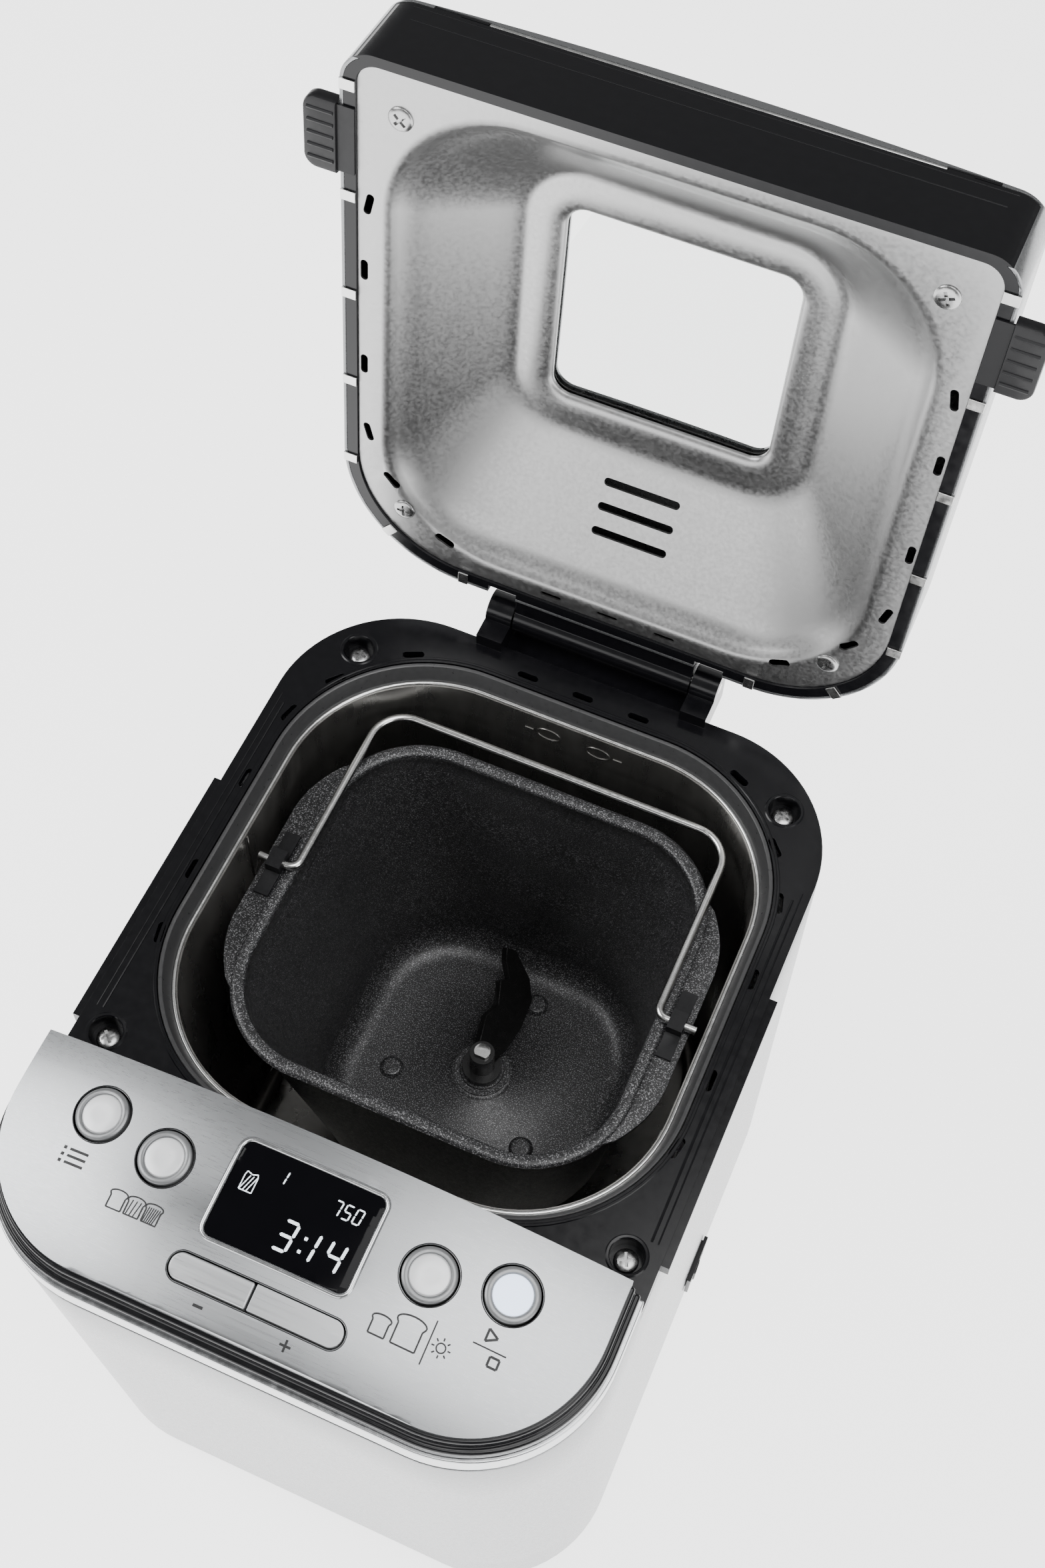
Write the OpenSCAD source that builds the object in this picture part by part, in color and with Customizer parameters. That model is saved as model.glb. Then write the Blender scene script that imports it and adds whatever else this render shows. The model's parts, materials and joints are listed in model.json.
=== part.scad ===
// Compact bread machine: metal-clad body, sloping console, lid with a window, lift-out pan.
// Millimetres. Front is -Y, right is +X, up is +Z; z = 0 is the surface it stands on.
// Plan positions are given from the middle of the deck, then placed() centres the whole.

/* [Body] */
// Width of the body at the deck
body_w = 220; // [216:1:224]
// Extra half width of the body at its foot
body_flare = 5; // [0:0.5:6]
// Distance from the deck's middle to the front of the body
body_front = 175; // [174:1:178]
// Distance from the deck's middle to the back of the body
body_rear = 121; // [120:0.5:122]
// How far the front wall leans in towards its foot
front_rake = 13; // [8:1:15]
// Corner radius of the body in plan
corner_r = 51; // [46:1:54]
// Height of the body from its foot to the deck
body_h = 248; // [246:1:252]
// Thickness of the body's wall
wall = 2.4; // [2:0.1:2.6]
// Height of the rubber feet
foot_h = 6; // [5:0.5:8]

/* [Console] */
// Distance from the deck's middle to the console's rear face
console_y = 102; // [101:0.5:103]
// Height of the console's lower edge above the deck
console_low = 25; // [24:0.5:26]
// Height of the console's crown above the deck
console_top = 39.5; // [39:0.5:41]
// Diameter of the round buttons
button_d = 18; // [16:0.5:18]
// Travel of every button
button_travel = 1.2; // [0.8:0.1:1.3]

/* [Chamber and pan] */
// Width of the baking chamber
chamber_w = 188; // [186:1:189]
// Distance from the deck's middle back to the drive shaft
shaft_y = 19; // [18:0.5:20]
// Width of the pan's body at its rim
pan_w = 153; // [150:1:154]
// Radius of the pan's side flanges about its middle
flange_r = 87; // [86:0.5:88]
// Height of the pan's floor above the table
pan_floor = 84.5; // [84:0.5:85]
// Turn that locks the pan into its base ring
lock_turn = 8; // [6:1:9]

/* [Lid] */
// Angle that the lid stands open from closed
lid_open = 95.4; // [0:0.1:96]
// Height of the lid's crown above the deck
lid_top = 40; // [39:0.5:42]
// Distance from the deck's middle to the hinge axis
hinge_y = 133.7; // [133:0.1:135]
// Height of the hinge axis above the deck
hinge_h = 6; // [5.5:0.1:6.5]
// Width of the window
window_w = 84; // [76:1:86]

/* [Drive] */
// Radius of the large pulley
large_pulley_r = 38; // [34:1:38]
// Radius of the motor pulley
small_pulley_r = 9.5; // [8:0.5:10]
// Radius of the drive shaft
drive_r = 4; // [3.5:0.5:4]
// Radius of the kneading shaft
knead_r = 3.5; // [3:0.5:3.5]
// Radial clearance of every running fit
run = 0.05; // [0.02:0.01:0.1]

/* [Hidden] */
$fn = 96;

deck_z = foot_h + body_h;
deck_lip = 8;
big = 400;
// heights of the console's layers, from the body's upper edge to the plate
console_seam = deck_z + 3;
trim_z = console_seam + 2.5;
seal_z = trim_z + 9.5;
plate_z = deck_z + console_low;
crown_z = deck_z + console_top;
plate_t = 1;
plate_in = 5;
frame_in = 7;
// the whole is centred: the open lid reaches back past the hinge by this much
lid_back = hinge_y + 52.32;
mid_y = (lid_back - body_front) / 2;
// chamber
chamber_front = 89;
chamber_rear = 102;
chamber_r = 57;
chamber_t = 1.2;
chamber_floor = 52;
rim_z = deck_z - 7;
// pan
pan_mid = 8.5;
pan_front = 64;
pan_back = 81;
pan_r = 38;
pan_t = 1.6;
pan_foot_w = 124;
flange_z = deck_z - 25.7;
flange_t = 2;
bail_z = deck_z - 21;
bail_r = 1.6;
bail_reach = 79.5;
bail_leg = 73.5;
bail_end = 89;
paddle_lean = 42;
// lid, drawn closed
lid_z = deck_z + 1;
lid_w = body_w - 0.8;
lid_front = 101;
lid_t = 1.2;
lid_sag_x = 1500;
lid_sag_y = 1700;
hinge_z = deck_z + hinge_h;
liner_z = deck_z + 2;
liner_t = 0.8;
liner_w = 208;
liner_front = 97;
liner_rear = 115;
dome_w = 185;
dome_front = 90;
dome_rear = 107;
dome_top = deck_z + 31;
window_front = 45;
window_rear = 38;
window_r = 8;
barrel_x = 37;
knuckle_x = 48;
hinge_pin_r = 2.5;
// drive
motor_x = -38;
motor_y = -130;
coupler_z = chamber_floor + 4.5;
wing_in = 8;
wing_out = 15;
wing_h = 7.5;
belt_t = 1.6;
pulley_z = 14;
chassis_z = 34;

button_spots = [[-73, -122.5], [-46.8, -127.9], [46.6, -128.1], [72.6, -122.8]];
slot_spots = [[100, -44, 78], [101.7, -16.2, 90], [101.8, 26.2, 90], [100.1, 58.9, 105],
    [90.7, 80.1, 132], [68.1, 102.9, 155]];
mid_slots = [-23.2, 0, 23.2];
deck_screw_spots = [[98.5, -85.7], [88.6, 96.5]];
lid_screw_spots = [[88.9, -80.8], [85.1, 93]];

// everything is drawn from the deck's middle and moved so that the whole is centred
module placed() translate([0, -mid_y, 0]) children();

// lid parts are drawn closed and swung open about the hinge
module on_lid() placed()
    translate([0, hinge_y, hinge_z]) rotate([-lid_open, 0, 0])
    translate([0, -hinge_y, -hinge_z]) children();

// both sides, mirrored left to right
module both() { children(); mirror([1, 0, 0]) children(); }

// plan outline, symmetric left to right, with its own front and rear corner radii
module outline(w, front, rear, rf, rr) {
    for (s = [-1, 1]) {
        translate([s * (w / 2 - rf), -front + rf]) circle(rf);
        translate([s * (w / 2 - rr), rear - rr]) circle(rr);
    }
    translate([-w / 2 + rf, -front]) square([w - 2 * rf, front + rear - rr]);
    translate([-w / 2 + rr, -front + rf]) square([w - 2 * rr, front + rear - rf]);
    translate([-w / 2, -front + rf]) square([w, front + rear - rf - rr]);
}
// rounded rectangle from its corners
module pad(x0, y0, x1, y1, r) {
    for (x = [x0 + r, x1 - r], y = [y0 + r, y1 - r]) translate([x, y]) circle(r);
    translate([x0 + r, y0]) square([x1 - x0 - 2 * r, y1 - y0]);
    translate([x0, y0 + r]) square([x1 - x0, y1 - y0 - 2 * r]);
}
module body_plan(inset = 0)
    outline(body_w - 2 * inset, body_front - inset, body_rear - inset,
        corner_r - inset, corner_r - inset);
module foot_plan(inset = 0)
    outline(body_w + 2 * (body_flare - inset), body_front - front_rake - inset,
        body_rear - inset, corner_r - inset, corner_r - inset);
module front_of(y) translate([-big / 2, -big]) square([big, big + y]);
module behind(y) translate([-big / 2, y]) square([big, big]);
module layer(z0, z1) translate([0, 0, z0]) linear_extrude(z1 - z0) children();
// a cylinder along +X from x0 to x1
module rod_x(r, x0, x1, y, z) translate([x0, y, z]) rotate([0, 90, 0])
    cylinder(r = r, h = x1 - x0);
module ring(r1, r0, z0, z1) translate([0, shaft_y, z0]) difference() {
    cylinder(r = r1, h = z1 - z0);
    translate([0, 0, -1]) cylinder(r = r0, h = z1 - z0 + 2);
}
// solid below a surface that is crowned both ways: rx across, ry front to back
module crown(top, mid, rx, ry)
    translate([0, mid, top - ry]) rotate([0, 90, 0]) rotate([0, 0, 150])
    rotate_extrude(angle = 60, $fn = 256) intersection() {
        translate([ry - rx, 0]) circle(rx, $fn = 256);
        translate([ry - 60, -150]) square([61, 300]);
    }
module console_crown(down = 0) crown(crown_z - down, -107, 600 - down, 228 - down);
module lid_crown(down = 0)
    crown(deck_z + lid_top - down, 10, lid_sag_x - down, lid_sag_y - down);
module slot(len, w) {
    square([len - w, w], center = true);
    for (s = [-1, 1]) translate([s * (len - w) / 2, 0]) circle(w / 2);
}
module rim_slots() {
    for (s = slot_spots, m = [0, 1]) mirror([m, 0])
        translate([s[0], s[1]]) rotate(s[2]) slot(8.5, 2.8);
    for (x = mid_slots) translate([x, 112]) slot(8.5, 2.6);
}

/* ---- casing ---- */

module body_shell() color("silver") placed() difference() {
    hull() {
        layer(foot_h, foot_h + 1.5) foot_plan();
        layer(console_seam - 1.5, console_seam) body_plan();
    }
    hull() {
        layer(foot_h - 2, foot_h + 1.5) foot_plan(wall);
        layer(console_seam - 1.5, console_seam + 2) body_plan(wall);
    }
    layer(deck_z - deck_lip, deck_z + 60) behind(-console_y);
    // opening for the mains switch, low on the right
    translate([100, -15.5, 24.5]) cube([30, 19, 13]);
    // opening for the cord gland
    translate([50, body_rear - 10, 30]) rotate([-90, 0, 0]) cylinder(r = 6.5, h = 20);
    // cooling slots in the back
    for (x = [-66:12:18]) translate([x, body_rear - 10, 30]) cube([4, 20, 46]);
}
module base_plate() color([0.12, 0.12, 0.13]) placed() difference() {
    union() {
        layer(foot_h, foot_h + 3) foot_plan(wall + 0.5);
        for (x = [-92, 92], y = [-116, 80]) translate([x, y, 9]) cylinder(r = 6, h = 14);
    }
    for (x = [-92, 92], y = [-116, 80]) translate([x, y, 5]) cylinder(r = 1.6, h = 30);
    for (x = [-80, 80], y = [-128, 88]) translate([x, y, 5]) cylinder(r = 3, h = 6);
    for (y = [-20:10:60]) translate([30, y - 1.5, 5]) cube([50, 3, 6]);
}
module feet() color([0.08, 0.08, 0.08]) placed()
    for (x = [-80, 80], y = [-128, 88]) translate([x, y, 0]) {
        cylinder(r = 9, h = foot_h);
        cylinder(r = 3, h = foot_h + 5);
    }
module base_screws() color("gray") placed()
    for (x = [-92, 92], y = [-116, 80]) translate([x, y, 0]) {
        translate([0, 0, 3.6]) cylinder(r = 3.4, h = 2.4);
        translate([0, 0, 3.6]) cylinder(r = 1.6, h = 16);
    }
module cord_gland() color([0.08, 0.08, 0.08]) placed()
    translate([50, body_rear - 6, 30]) rotate([-90, 0, 0]) difference() {
        union() { cylinder(r = 6.4, h = 8); cylinder(r = 8.5, h = 3.4);
            translate([0, 0, 6.2]) cylinder(r = 8.5, h = 3); }
        translate([0, 0, -1]) cylinder(r = 3.4, h = 12);
    }
module switch_bezel() color([0.08, 0.08, 0.08]) placed() difference() {
    union() {
        translate([114.9, -17, 23]) cube([1.6, 22, 16]);
        translate([104, -15.3, 24.7]) cube([11, 18.6, 12.6]);
    }
    translate([105.5, -13.5, 26]) cube([20, 15, 10]);
    translate([109, -6, 15]) cylinder(r = 1.1, h = 30);
}
module switch_rocker() color([0.1, 0.1, 0.1]) placed() translate([109, -6, 0]) {
    // its face is a shallow V, with one half pressed in
    layer(26.4, 35.6) polygon([[-2.2, -3], [3, -6.6], [8.2, -5.6], [8, 0], [6.8, 5.8],
        [3, 6.8], [-2.2, 3]]);
    translate([0, 0, 24.9]) cylinder(r = 1.1 - run, h = 12.2);
}

/* ---- console ---- */

module console_ring(z0, z1, out, in) difference() {
    layer(z0, z1) intersection() { body_plan(out); front_of(-console_y); }
    layer(z0 - 1, z1 + 1) intersection() { body_plan(in); front_of(-console_y + 1); }
}
module console_frame() color([0.06, 0.06, 0.07]) placed() {
    console_ring(console_seam - 9, console_seam, wall + 0.4, wall + 3);
    console_ring(console_seam, trim_z, 2.2, frame_in + 2.6);
    console_ring(trim_z, plate_z, frame_in, frame_in + 2.6);
    intersection() {
        layer(console_seam - 9, crown_z) translate([-body_w / 2 + frame_in + 0.1, -console_y - 2.5])
            square([body_w - 2 * frame_in - 0.2, 2.5]);
        console_crown(plate_t + 0.1);
    }
}
module trim_band() color("silver") placed() console_ring(trim_z, seal_z, 0, wall + 0.3);
module console_seal() color([0.02, 0.02, 0.02]) placed() {
    console_ring(seal_z, seal_z + 5, 1.4, frame_in);
    console_ring(seal_z + 5, plate_z, 3.6, frame_in);
}
module panel_hole(i) translate(button_spots[i]) circle(button_d / 2 + 0.6);
module keys_plan(grow = 0) pad(-30 - grow, -160.4 - grow, 30 + grow, -152 + grow, 4 + grow);
module display_plan(grow = 0)
    pad(-25 - grow, -144.6 - grow, 25 + grow, -112.2 + grow, 3 + grow);
module panel_plate() color("lightgray") placed() difference() {
    intersection() {
        layer(plate_z, crown_z + 1) intersection() {
            body_plan(plate_in);
            front_of(-console_y);
        }
        console_crown();
    }
    intersection() {
        layer(plate_z - 1, crown_z + 1) body_plan(plate_in + plate_t);
        console_crown(plate_t);
    }
    layer(plate_z, crown_z + 5) {
        for (i = [0:3]) panel_hole(i);
        keys_plan(0.6);
        display_plan(0.1);
    }
}
module display_window() color([0.02, 0.02, 0.03]) placed() intersection() {
    layer(crown_z - 7, crown_z + 2) display_plan();
    console_crown(0.3);
}
module display_module() color([0.1, 0.3, 0.15]) placed() {
    layer(crown_z - 12, crown_z - 7) translate([-24, -143]) square([48, 29]);
    layer(deck_z + 15.6, crown_z - 12) translate([-20, -140]) square([40, 4]);
}
module control_board() color([0.05, 0.3, 0.12]) placed() {
    layer(deck_z + 14, deck_z + 15.6) {
        translate([-80, -150]) square([160, 44]);
        translate([-52, -162]) square([104, 13]);
    }
    layer(deck_z + 15.6, deck_z + 20) {
        for (p = button_spots) translate(p) square(6, center = true);
        for (s = [-1, 1]) translate([s * 15, -156.2]) square(6, center = true);
    }
}
module round_button(i) placed() translate(button_spots[i]) {
    intersection() {
        translate([0, 0, deck_z + 27]) cylinder(r = button_d / 2, h = 30);
        translate(-button_spots[i]) console_crown(-0.9);
    }
    translate([0, 0, deck_z + 20.05 + button_travel]) cylinder(r = 3, h = 8);
}
module button_program() color("gainsboro") round_button(0);
module button_crust() color("gainsboro") round_button(1);
module button_weight() color("gainsboro") round_button(2);
module button_start() color("white") round_button(3);
module pill_key(side) placed() {
    intersection() {
        layer(deck_z + 26, crown_z + 5) intersection() {
            keys_plan();
            translate([side > 0 ? -1.1 : -41.9, -170]) square([40, 40]);
        }
        console_crown(-0.9);
    }
    translate([side * 15, -156.2, deck_z + 20.05 + button_travel]) cylinder(r = 2.4, h = 7);
}
module key_minus() color("gainsboro") pill_key(-1);
module key_plus() color("gainsboro") pill_key(1);

/* ---- deck ---- */

module chamber_plan(inset = 0)
    outline(chamber_w - 2 * inset, chamber_front - inset, chamber_rear - inset,
        chamber_r - inset, chamber_r - inset);
module deck() color([0.07, 0.07, 0.08]) placed() difference() {
    union() {
        layer(deck_z - 3, deck_z) deck_plan();
        difference() {
            layer(deck_z - deck_lip, deck_z) deck_plan();
            layer(deck_z - deck_lip - 1, deck_z - 2) intersection() {
                body_plan(3);
                behind(-console_y + 3);
            }
        }
        for (s = deck_screw_spots) both() translate([s[0], s[1], deck_z - 13])
            cylinder(r = 8, h = 13);
        // side ledges under the lid's finger grips
        both() translate([108, -84, deck_z - 7]) cube([5, 106, 6]);
        // hinge knuckles and the web between them, under the lid's barrel
        translate([-knuckle_x, 118, deck_z - deck_lip])
            cube([2 * knuckle_x, hinge_y - 118 + 6.5, 4]);
        both() difference() {
            union() {
                translate([barrel_x + 0.4, 118, deck_z - deck_lip])
                    cube([knuckle_x - barrel_x - 0.4, hinge_y - 118 + 6.5, deck_lip + 6]);
                rod_x(7, barrel_x + 0.4, knuckle_x, hinge_y, hinge_z);
            }
            rod_x(hinge_pin_r, barrel_x - 5, knuckle_x + 5, hinge_y, hinge_z);
        }
    }
    layer(deck_z - 20, deck_z + 1) chamber_plan(-5.2);
    layer(deck_z - 20, deck_z + 1) rim_slots();
    for (s = deck_screw_spots) both() translate([s[0], s[1], deck_z - 6.5])
        cylinder(r = 6, h = 10);
    for (s = deck_screw_spots) both() translate([s[0], s[1], deck_z - 30])
        cylinder(r = 2, h = 30);
}
module deck_plan() intersection() { body_plan(); behind(-console_y + 0.05); }
module deck_screws() color("silver") placed() for (s = deck_screw_spots) both()
    translate([s[0], s[1], deck_z - 6.5]) {
        cylinder(r = 4.3, h = 2.4);
        translate([0, 0, -16]) cylinder(r = 2, h = 16);
    }
module chamber_ring() color([0.2, 0.2, 0.21]) placed() difference() {
    layer(rim_z, deck_z - 0.6) chamber_plan(-5);
    layer(rim_z - 1, deck_z) chamber_plan(-0.6);
}
module hinge_pins() color("silver") placed() both()
    rod_x(hinge_pin_r, barrel_x - 15, knuckle_x, hinge_y, hinge_z);

/* ---- chamber and heat ---- */

module chamber_liner() color([0.25, 0.25, 0.26]) placed() difference() {
    union() {
        layer(chamber_floor, rim_z) chamber_plan();
        layer(rim_z - 2, rim_z) chamber_plan(-4.6);
    }
    layer(chamber_floor + chamber_t, rim_z + 1) chamber_plan(chamber_t);
    translate([0, shaft_y, chamber_floor - 1]) cylinder(r = 12, h = 4);
    for (x = [-18, 18]) translate([x, -chamber_front - 5, 68]) rotate([-90, 0, 0])
        cylinder(r = 3.2, h = 10);
    translate([-28, -chamber_front - 5, 150]) rotate([-90, 0, 0]) cylinder(r = 4, h = 10);
}
// one straight run and one corner of the heater, in a loop a little inside the wall
heat_r = 3.2;
heat_x = chamber_w / 2 - 9;
heat_front = chamber_front - 9;
heat_rear = chamber_rear - 9;
heat_bend = 46;
module heat_corner(x, y, turn) translate([x, y, 68]) rotate(turn)
    rotate_extrude(angle = 90) translate([heat_bend, 0]) circle(heat_r);
module rod_y(r, y0, y1, x, z) translate([x, y0, z]) rotate([-90, 0, 0])
    cylinder(r = r, h = y1 - y0);
module heating_element() color([0.35, 0.33, 0.31]) placed() {
    both() {
        rod_y(heat_r, -heat_front + heat_bend, heat_rear - heat_bend, heat_x, 68);
        heat_corner(heat_x - heat_bend, heat_rear - heat_bend, 0);
        heat_corner(heat_x - heat_bend, -heat_front + heat_bend, -90);
        rod_x(heat_r, 24, heat_x - heat_bend, -heat_front, 68);
        translate([24, -heat_front - 6, 68]) rotate(90)
            rotate_extrude(angle = 90) translate([6, 0]) circle(heat_r);
        rod_y(heat_r, -chamber_front - 6, -heat_front - 6, 18, 68);
    }
    rod_x(heat_r, -heat_x + heat_bend, heat_x - heat_bend, heat_rear, 68);
}
module heater_brackets() color("silver") placed() for (x = [-50, 50], y = [0, 1]) {
    translate([x > 0 ? heat_x - 4.5 : -heat_x - 4.5, y * 40 - 12, chamber_floor + chamber_t])
        cube([9, 5, 68 - heat_r - chamber_floor - chamber_t]);
}
module temperature_sensor() color("silver") placed() translate([-28, -chamber_front, 150])
    rotate([-90, 0, 0]) {
        translate([0, 0, -12]) cylinder(r = 4, h = 13.2);
        translate([0, 0, 1.2]) cylinder(r = 6, h = 4);
    }

/* ---- base ring that locks the pan ---- */

base_z = chamber_floor + 6;
ear_h = 3;
module sector(r1, r0, from, span) {
    n = 8;
    difference() {
        intersection() {
            circle(r1);
            polygon(concat([[0, 0]], [for (i = [0:n]) let (a = from + span * i / n)
                1.5 * r1 * [cos(a), sin(a)]]));
        }
        circle(r0);
    }
}
module pan_lock_ring() color("silver") placed() {
    ring(46, 33, chamber_floor + chamber_t, base_z - 0.05);
    ring(46, 41.6, base_z - 0.05, base_z + 8);
    translate([0, shaft_y, 0]) for (a = [0, 120, 240])
        layer(base_z + ear_h + 0.6, base_z + 8) sector(41.6, 36.6, a + 13, 30);
}
module pan_base() color([0.3, 0.3, 0.31]) placed() {
    ring(36, 32.5, base_z, pan_floor - 7);
    ring(36, 6.5, pan_floor - 7, pan_floor - 3.5);
    ring(11, 6.5, pan_floor - 12.5, pan_floor - 7);
    translate([0, shaft_y, 0]) for (a = [0, 120, 240])
        layer(base_z, base_z + ear_h) sector(41, 36, a - 12, 24);
}
module thrust_washer() color("tan") placed() ring(7, knead_r + 0.1, pan_floor - 13.8, pan_floor - 12.8);
module pan_bush() color([0.6, 0.45, 0.25]) placed()
    ring(6.5, knead_r + run, pan_floor - 12.5, pan_floor + 2);
module shaft_seal() color([0.1, 0.1, 0.1]) placed() {
    ring(12.3, 6.5, pan_floor, pan_floor + 1.6);
    ring(9.6, 6.5, pan_floor + 1.6, pan_floor + 2.4);
}
module pan_shaft() color("silver") placed() {
    difference() {
        translate([0, shaft_y, pan_floor - 20.5]) cylinder(r = knead_r, h = 42.4);
        // flat that drives the paddle
        translate([-5, shaft_y - 5 - knead_r + 0.9, pan_floor + 5]) cube([10, 5, 30]);
    }
    ring(7, knead_r, pan_floor - 20.5, pan_floor - 14);
    translate([0, shaft_y, 0]) for (a = [75, 255])
        layer(pan_floor - 20.5, pan_floor - 14) sector(wing_out, 6.9, a, 30);
}
// the paddle's fin leans over and rises away from its hub
module kneading_paddle() color([0.06, 0.06, 0.06]) placed()
    translate([0, shaft_y, 0]) difference() {
        union() {
            translate([0, 0, pan_floor + 2.6]) cylinder(r = 8.6, h = 4);
            translate([0, 0, pan_floor + 2.6]) cylinder(r = 5.4, h = 17.4);
            translate([0, 0, pan_floor + 11.5]) rotate(88) rotate([-paddle_lean, 0, 0])
                translate([0, 1.6, 0]) rotate([90, 0, 0]) linear_extrude(3.2)
                polygon([[2, -4], [10, -8], [24, -9.5], [37, -8], [44, -1], [49, 13], [47, 18],
                    [42, 15], [37, 9], [33, 12.5], [24, 7.5], [16, 10.5], [8, 8], [2, 6]]);
        }
        difference() {
            translate([0, 0, pan_floor]) cylinder(r = knead_r + run, h = 40);
            translate([-5, -5 - knead_r + 0.8, pan_floor + 5.2]) cube([10, 5, 40]);
        }
    }

/* ---- pan ---- */

module pan_top_plan(grow = 0)
    outline(pan_w + 2 * grow, pan_front + grow, pan_back + grow, pan_r + grow, pan_r + grow);
module pan_foot_plan(inset = 0)
    outline(pan_foot_w - 2 * inset, 42 - inset, 78 - inset, 48 - inset, 48 - inset);
module pan() color([0.25, 0.25, 0.26]) placed() difference() {
    union() {
        hull() {
            layer(pan_floor - 3.5, pan_floor - 3.4) pan_foot_plan(9);
            layer(pan_floor + 3, pan_floor + 3.1) pan_foot_plan(3);
            layer(pan_floor + 14, pan_floor + 14.1) pan_foot_plan();
            layer(flange_z - 0.1, flange_z) pan_top_plan();
        }
        layer(flange_z, flange_z + flange_t) {
            pan_top_plan(2);
            intersection() {
                translate([0, pan_mid]) circle(flange_r);
                translate([-100, pan_mid - 47]) square([200, 94]);
            }
        }
        // wire edge rolled into the rim
        layer(flange_z + flange_t, flange_z + flange_t + 0.9) pan_top_plan(0.6);
        for (a = [76, 202, 319]) translate([0, shaft_y, 0]) rotate(a)
            translate([39.5, 0, pan_floor - 1]) cylinder(r = 4.6, h = 3);
    }
    hull() {
        layer(pan_floor, pan_floor + 0.1) pan_foot_plan(15);
        layer(pan_floor + 5, pan_floor + 5.1) pan_foot_plan(7);
        layer(pan_floor + 18, pan_floor + 18.1) pan_foot_plan(pan_t);
        layer(flange_z, flange_z + 0.1) pan_top_plan(-pan_t);
    }
    layer(flange_z, flange_z + 10) pan_top_plan(-pan_t);
    for (a = [76, 202, 319]) translate([0, shaft_y, 0]) rotate(a)
        translate([39.5, 0, pan_floor - 4]) cylinder(r = 3, h = 2.5);
    translate([0, shaft_y, pan_floor - 10]) cylinder(r = 6.5, h = 20);
}
module bail_brackets() color([0.2, 0.2, 0.2]) placed() both() difference() {
    union() {
        translate([78.6, pan_mid - 14, flange_z + flange_t + 0.01]) cube([6, 28, 1.3]);
        translate([78.6, pan_mid - 4, flange_z + flange_t + 0.01]) cube([6, 8, 5.6]);
    }
    rod_x(bail_r + run, 70, 95, pan_mid, bail_z);
}
module bail_bend(r, x, y, turn) translate([x, y, bail_z]) rotate(turn)
    rotate_extrude(angle = 90) translate([r, 0]) circle(bail_r);
module bail_handle() color("silver") placed() {
    far = pan_mid + bail_reach;
    both() {
        rod_x(bail_r, bail_leg + 4, bail_end, pan_mid, bail_z);
        bail_bend(4, bail_leg + 4, pan_mid + 4, 180);
        rod_y(bail_r, pan_mid + 4, far - 14, bail_leg, bail_z);
        bail_bend(14, bail_leg - 14, far - 14, 0);
    }
    rod_x(bail_r, 14 - bail_leg, bail_leg - 14, far, bail_z);
}

/* ---- drive ---- */

module chassis() color("silver") placed() difference() {
    union() {
        layer(chassis_z, chassis_z + 2) pad(-62, -158, 62, 84, 6);
        for (x = [-52, 52], y = [-148, 74]) translate([x, y, foot_h + 3])
            cylinder(r = 5, h = chassis_z - foot_h - 3);
    }
    translate([0, shaft_y, 20]) cylinder(r = 12, h = 30);
    translate([motor_x, motor_y, 20]) cylinder(r = 8, h = 30);
}
module drive_bush() color([0.6, 0.45, 0.25]) placed() {
    ring(12, drive_r + run, chassis_z - 6, chamber_floor + 3.5);
    ring(18, 12, chassis_z + 2, chassis_z + 5);
}
module drive_shaft() color("gray") placed() {
    translate([0, shaft_y, 11]) cylinder(r = drive_r, h = coupler_z + 5.5 - 11);
    ring(wing_out, drive_r, coupler_z - 0.5, coupler_z + 5.5);
    translate([0, shaft_y, 0]) for (a = [-15, 165])
        layer(coupler_z + 5.5, coupler_z + 5.5 + wing_h) sector(wing_out, wing_in, a, 30);
}
module pulley(r, bore, z) difference() {
    union() {
        translate([0, 0, z]) cylinder(r = r + 1.5, h = 1.2);
        translate([0, 0, z + 1.2]) cylinder(r = r, h = 7.6);
        translate([0, 0, z + 8.8]) cylinder(r = r + 1.5, h = 1.2);
    }
    translate([0, 0, z - 1]) cylinder(r = bore, h = 14);
    if (r > 20) for (a = [0:60:300]) rotate(a) translate([22, 0, z - 1]) cylinder(r = 8, h = 14);
}
module large_pulley() color([0.15, 0.15, 0.15]) placed() translate([0, shaft_y, 0])
    pulley(large_pulley_r, drive_r, pulley_z);
module motor_pulley() color([0.15, 0.15, 0.15]) placed() translate([motor_x, motor_y, 0])
    pulley(small_pulley_r, drive_r, pulley_z);
module belt_plan(grow) hull() {
    translate([0, shaft_y]) circle(large_pulley_r + grow);
    translate([motor_x, motor_y]) circle(small_pulley_r + grow);
}
module drive_belt() color([0.05, 0.05, 0.05]) placed() layer(pulley_z + 2, pulley_z + 8)
    difference() { belt_plan(0.15 + belt_t); belt_plan(0.15); }
module motor_rotor() color("gray") placed() translate([motor_x, motor_y, 0]) {
    translate([0, 0, 11]) cylinder(r = drive_r, h = 85);
    translate([0, 0, 46]) cylinder(r = 17, h = 36);
}
module motor_stator() color([0.5, 0.35, 0.2]) placed() translate([motor_x, motor_y, 0]) {
    difference() {
        translate([0, 0, chassis_z + 2]) cylinder(r = 30, h = 56);
        translate([0, 0, chassis_z + 8]) cylinder(r = 17.6, h = 44);
        translate([0, 0, 20]) cylinder(r = drive_r + run, h = 80);
    }
}
module power_board() color([0.4, 0.3, 0.1]) placed() {
    layer(46, 47.6) pad(0, -158, 58, -106, 2);
    for (x = [4, 54], y = [-154, -110]) translate([x, y, chassis_z + 2])
        cylinder(r = 2.5, h = 10);
    translate([8, -150, 47.6]) cube([26, 24, 24]);
    translate([46, -140, 47.6]) cylinder(r = 8, h = 26);
    translate([12, -120, 47.6]) cube([18, 10, 16]);
    translate([40, -124, 47.6]) cube([12, 12, 12]);
}

/* ---- lid, drawn closed ---- */

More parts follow.
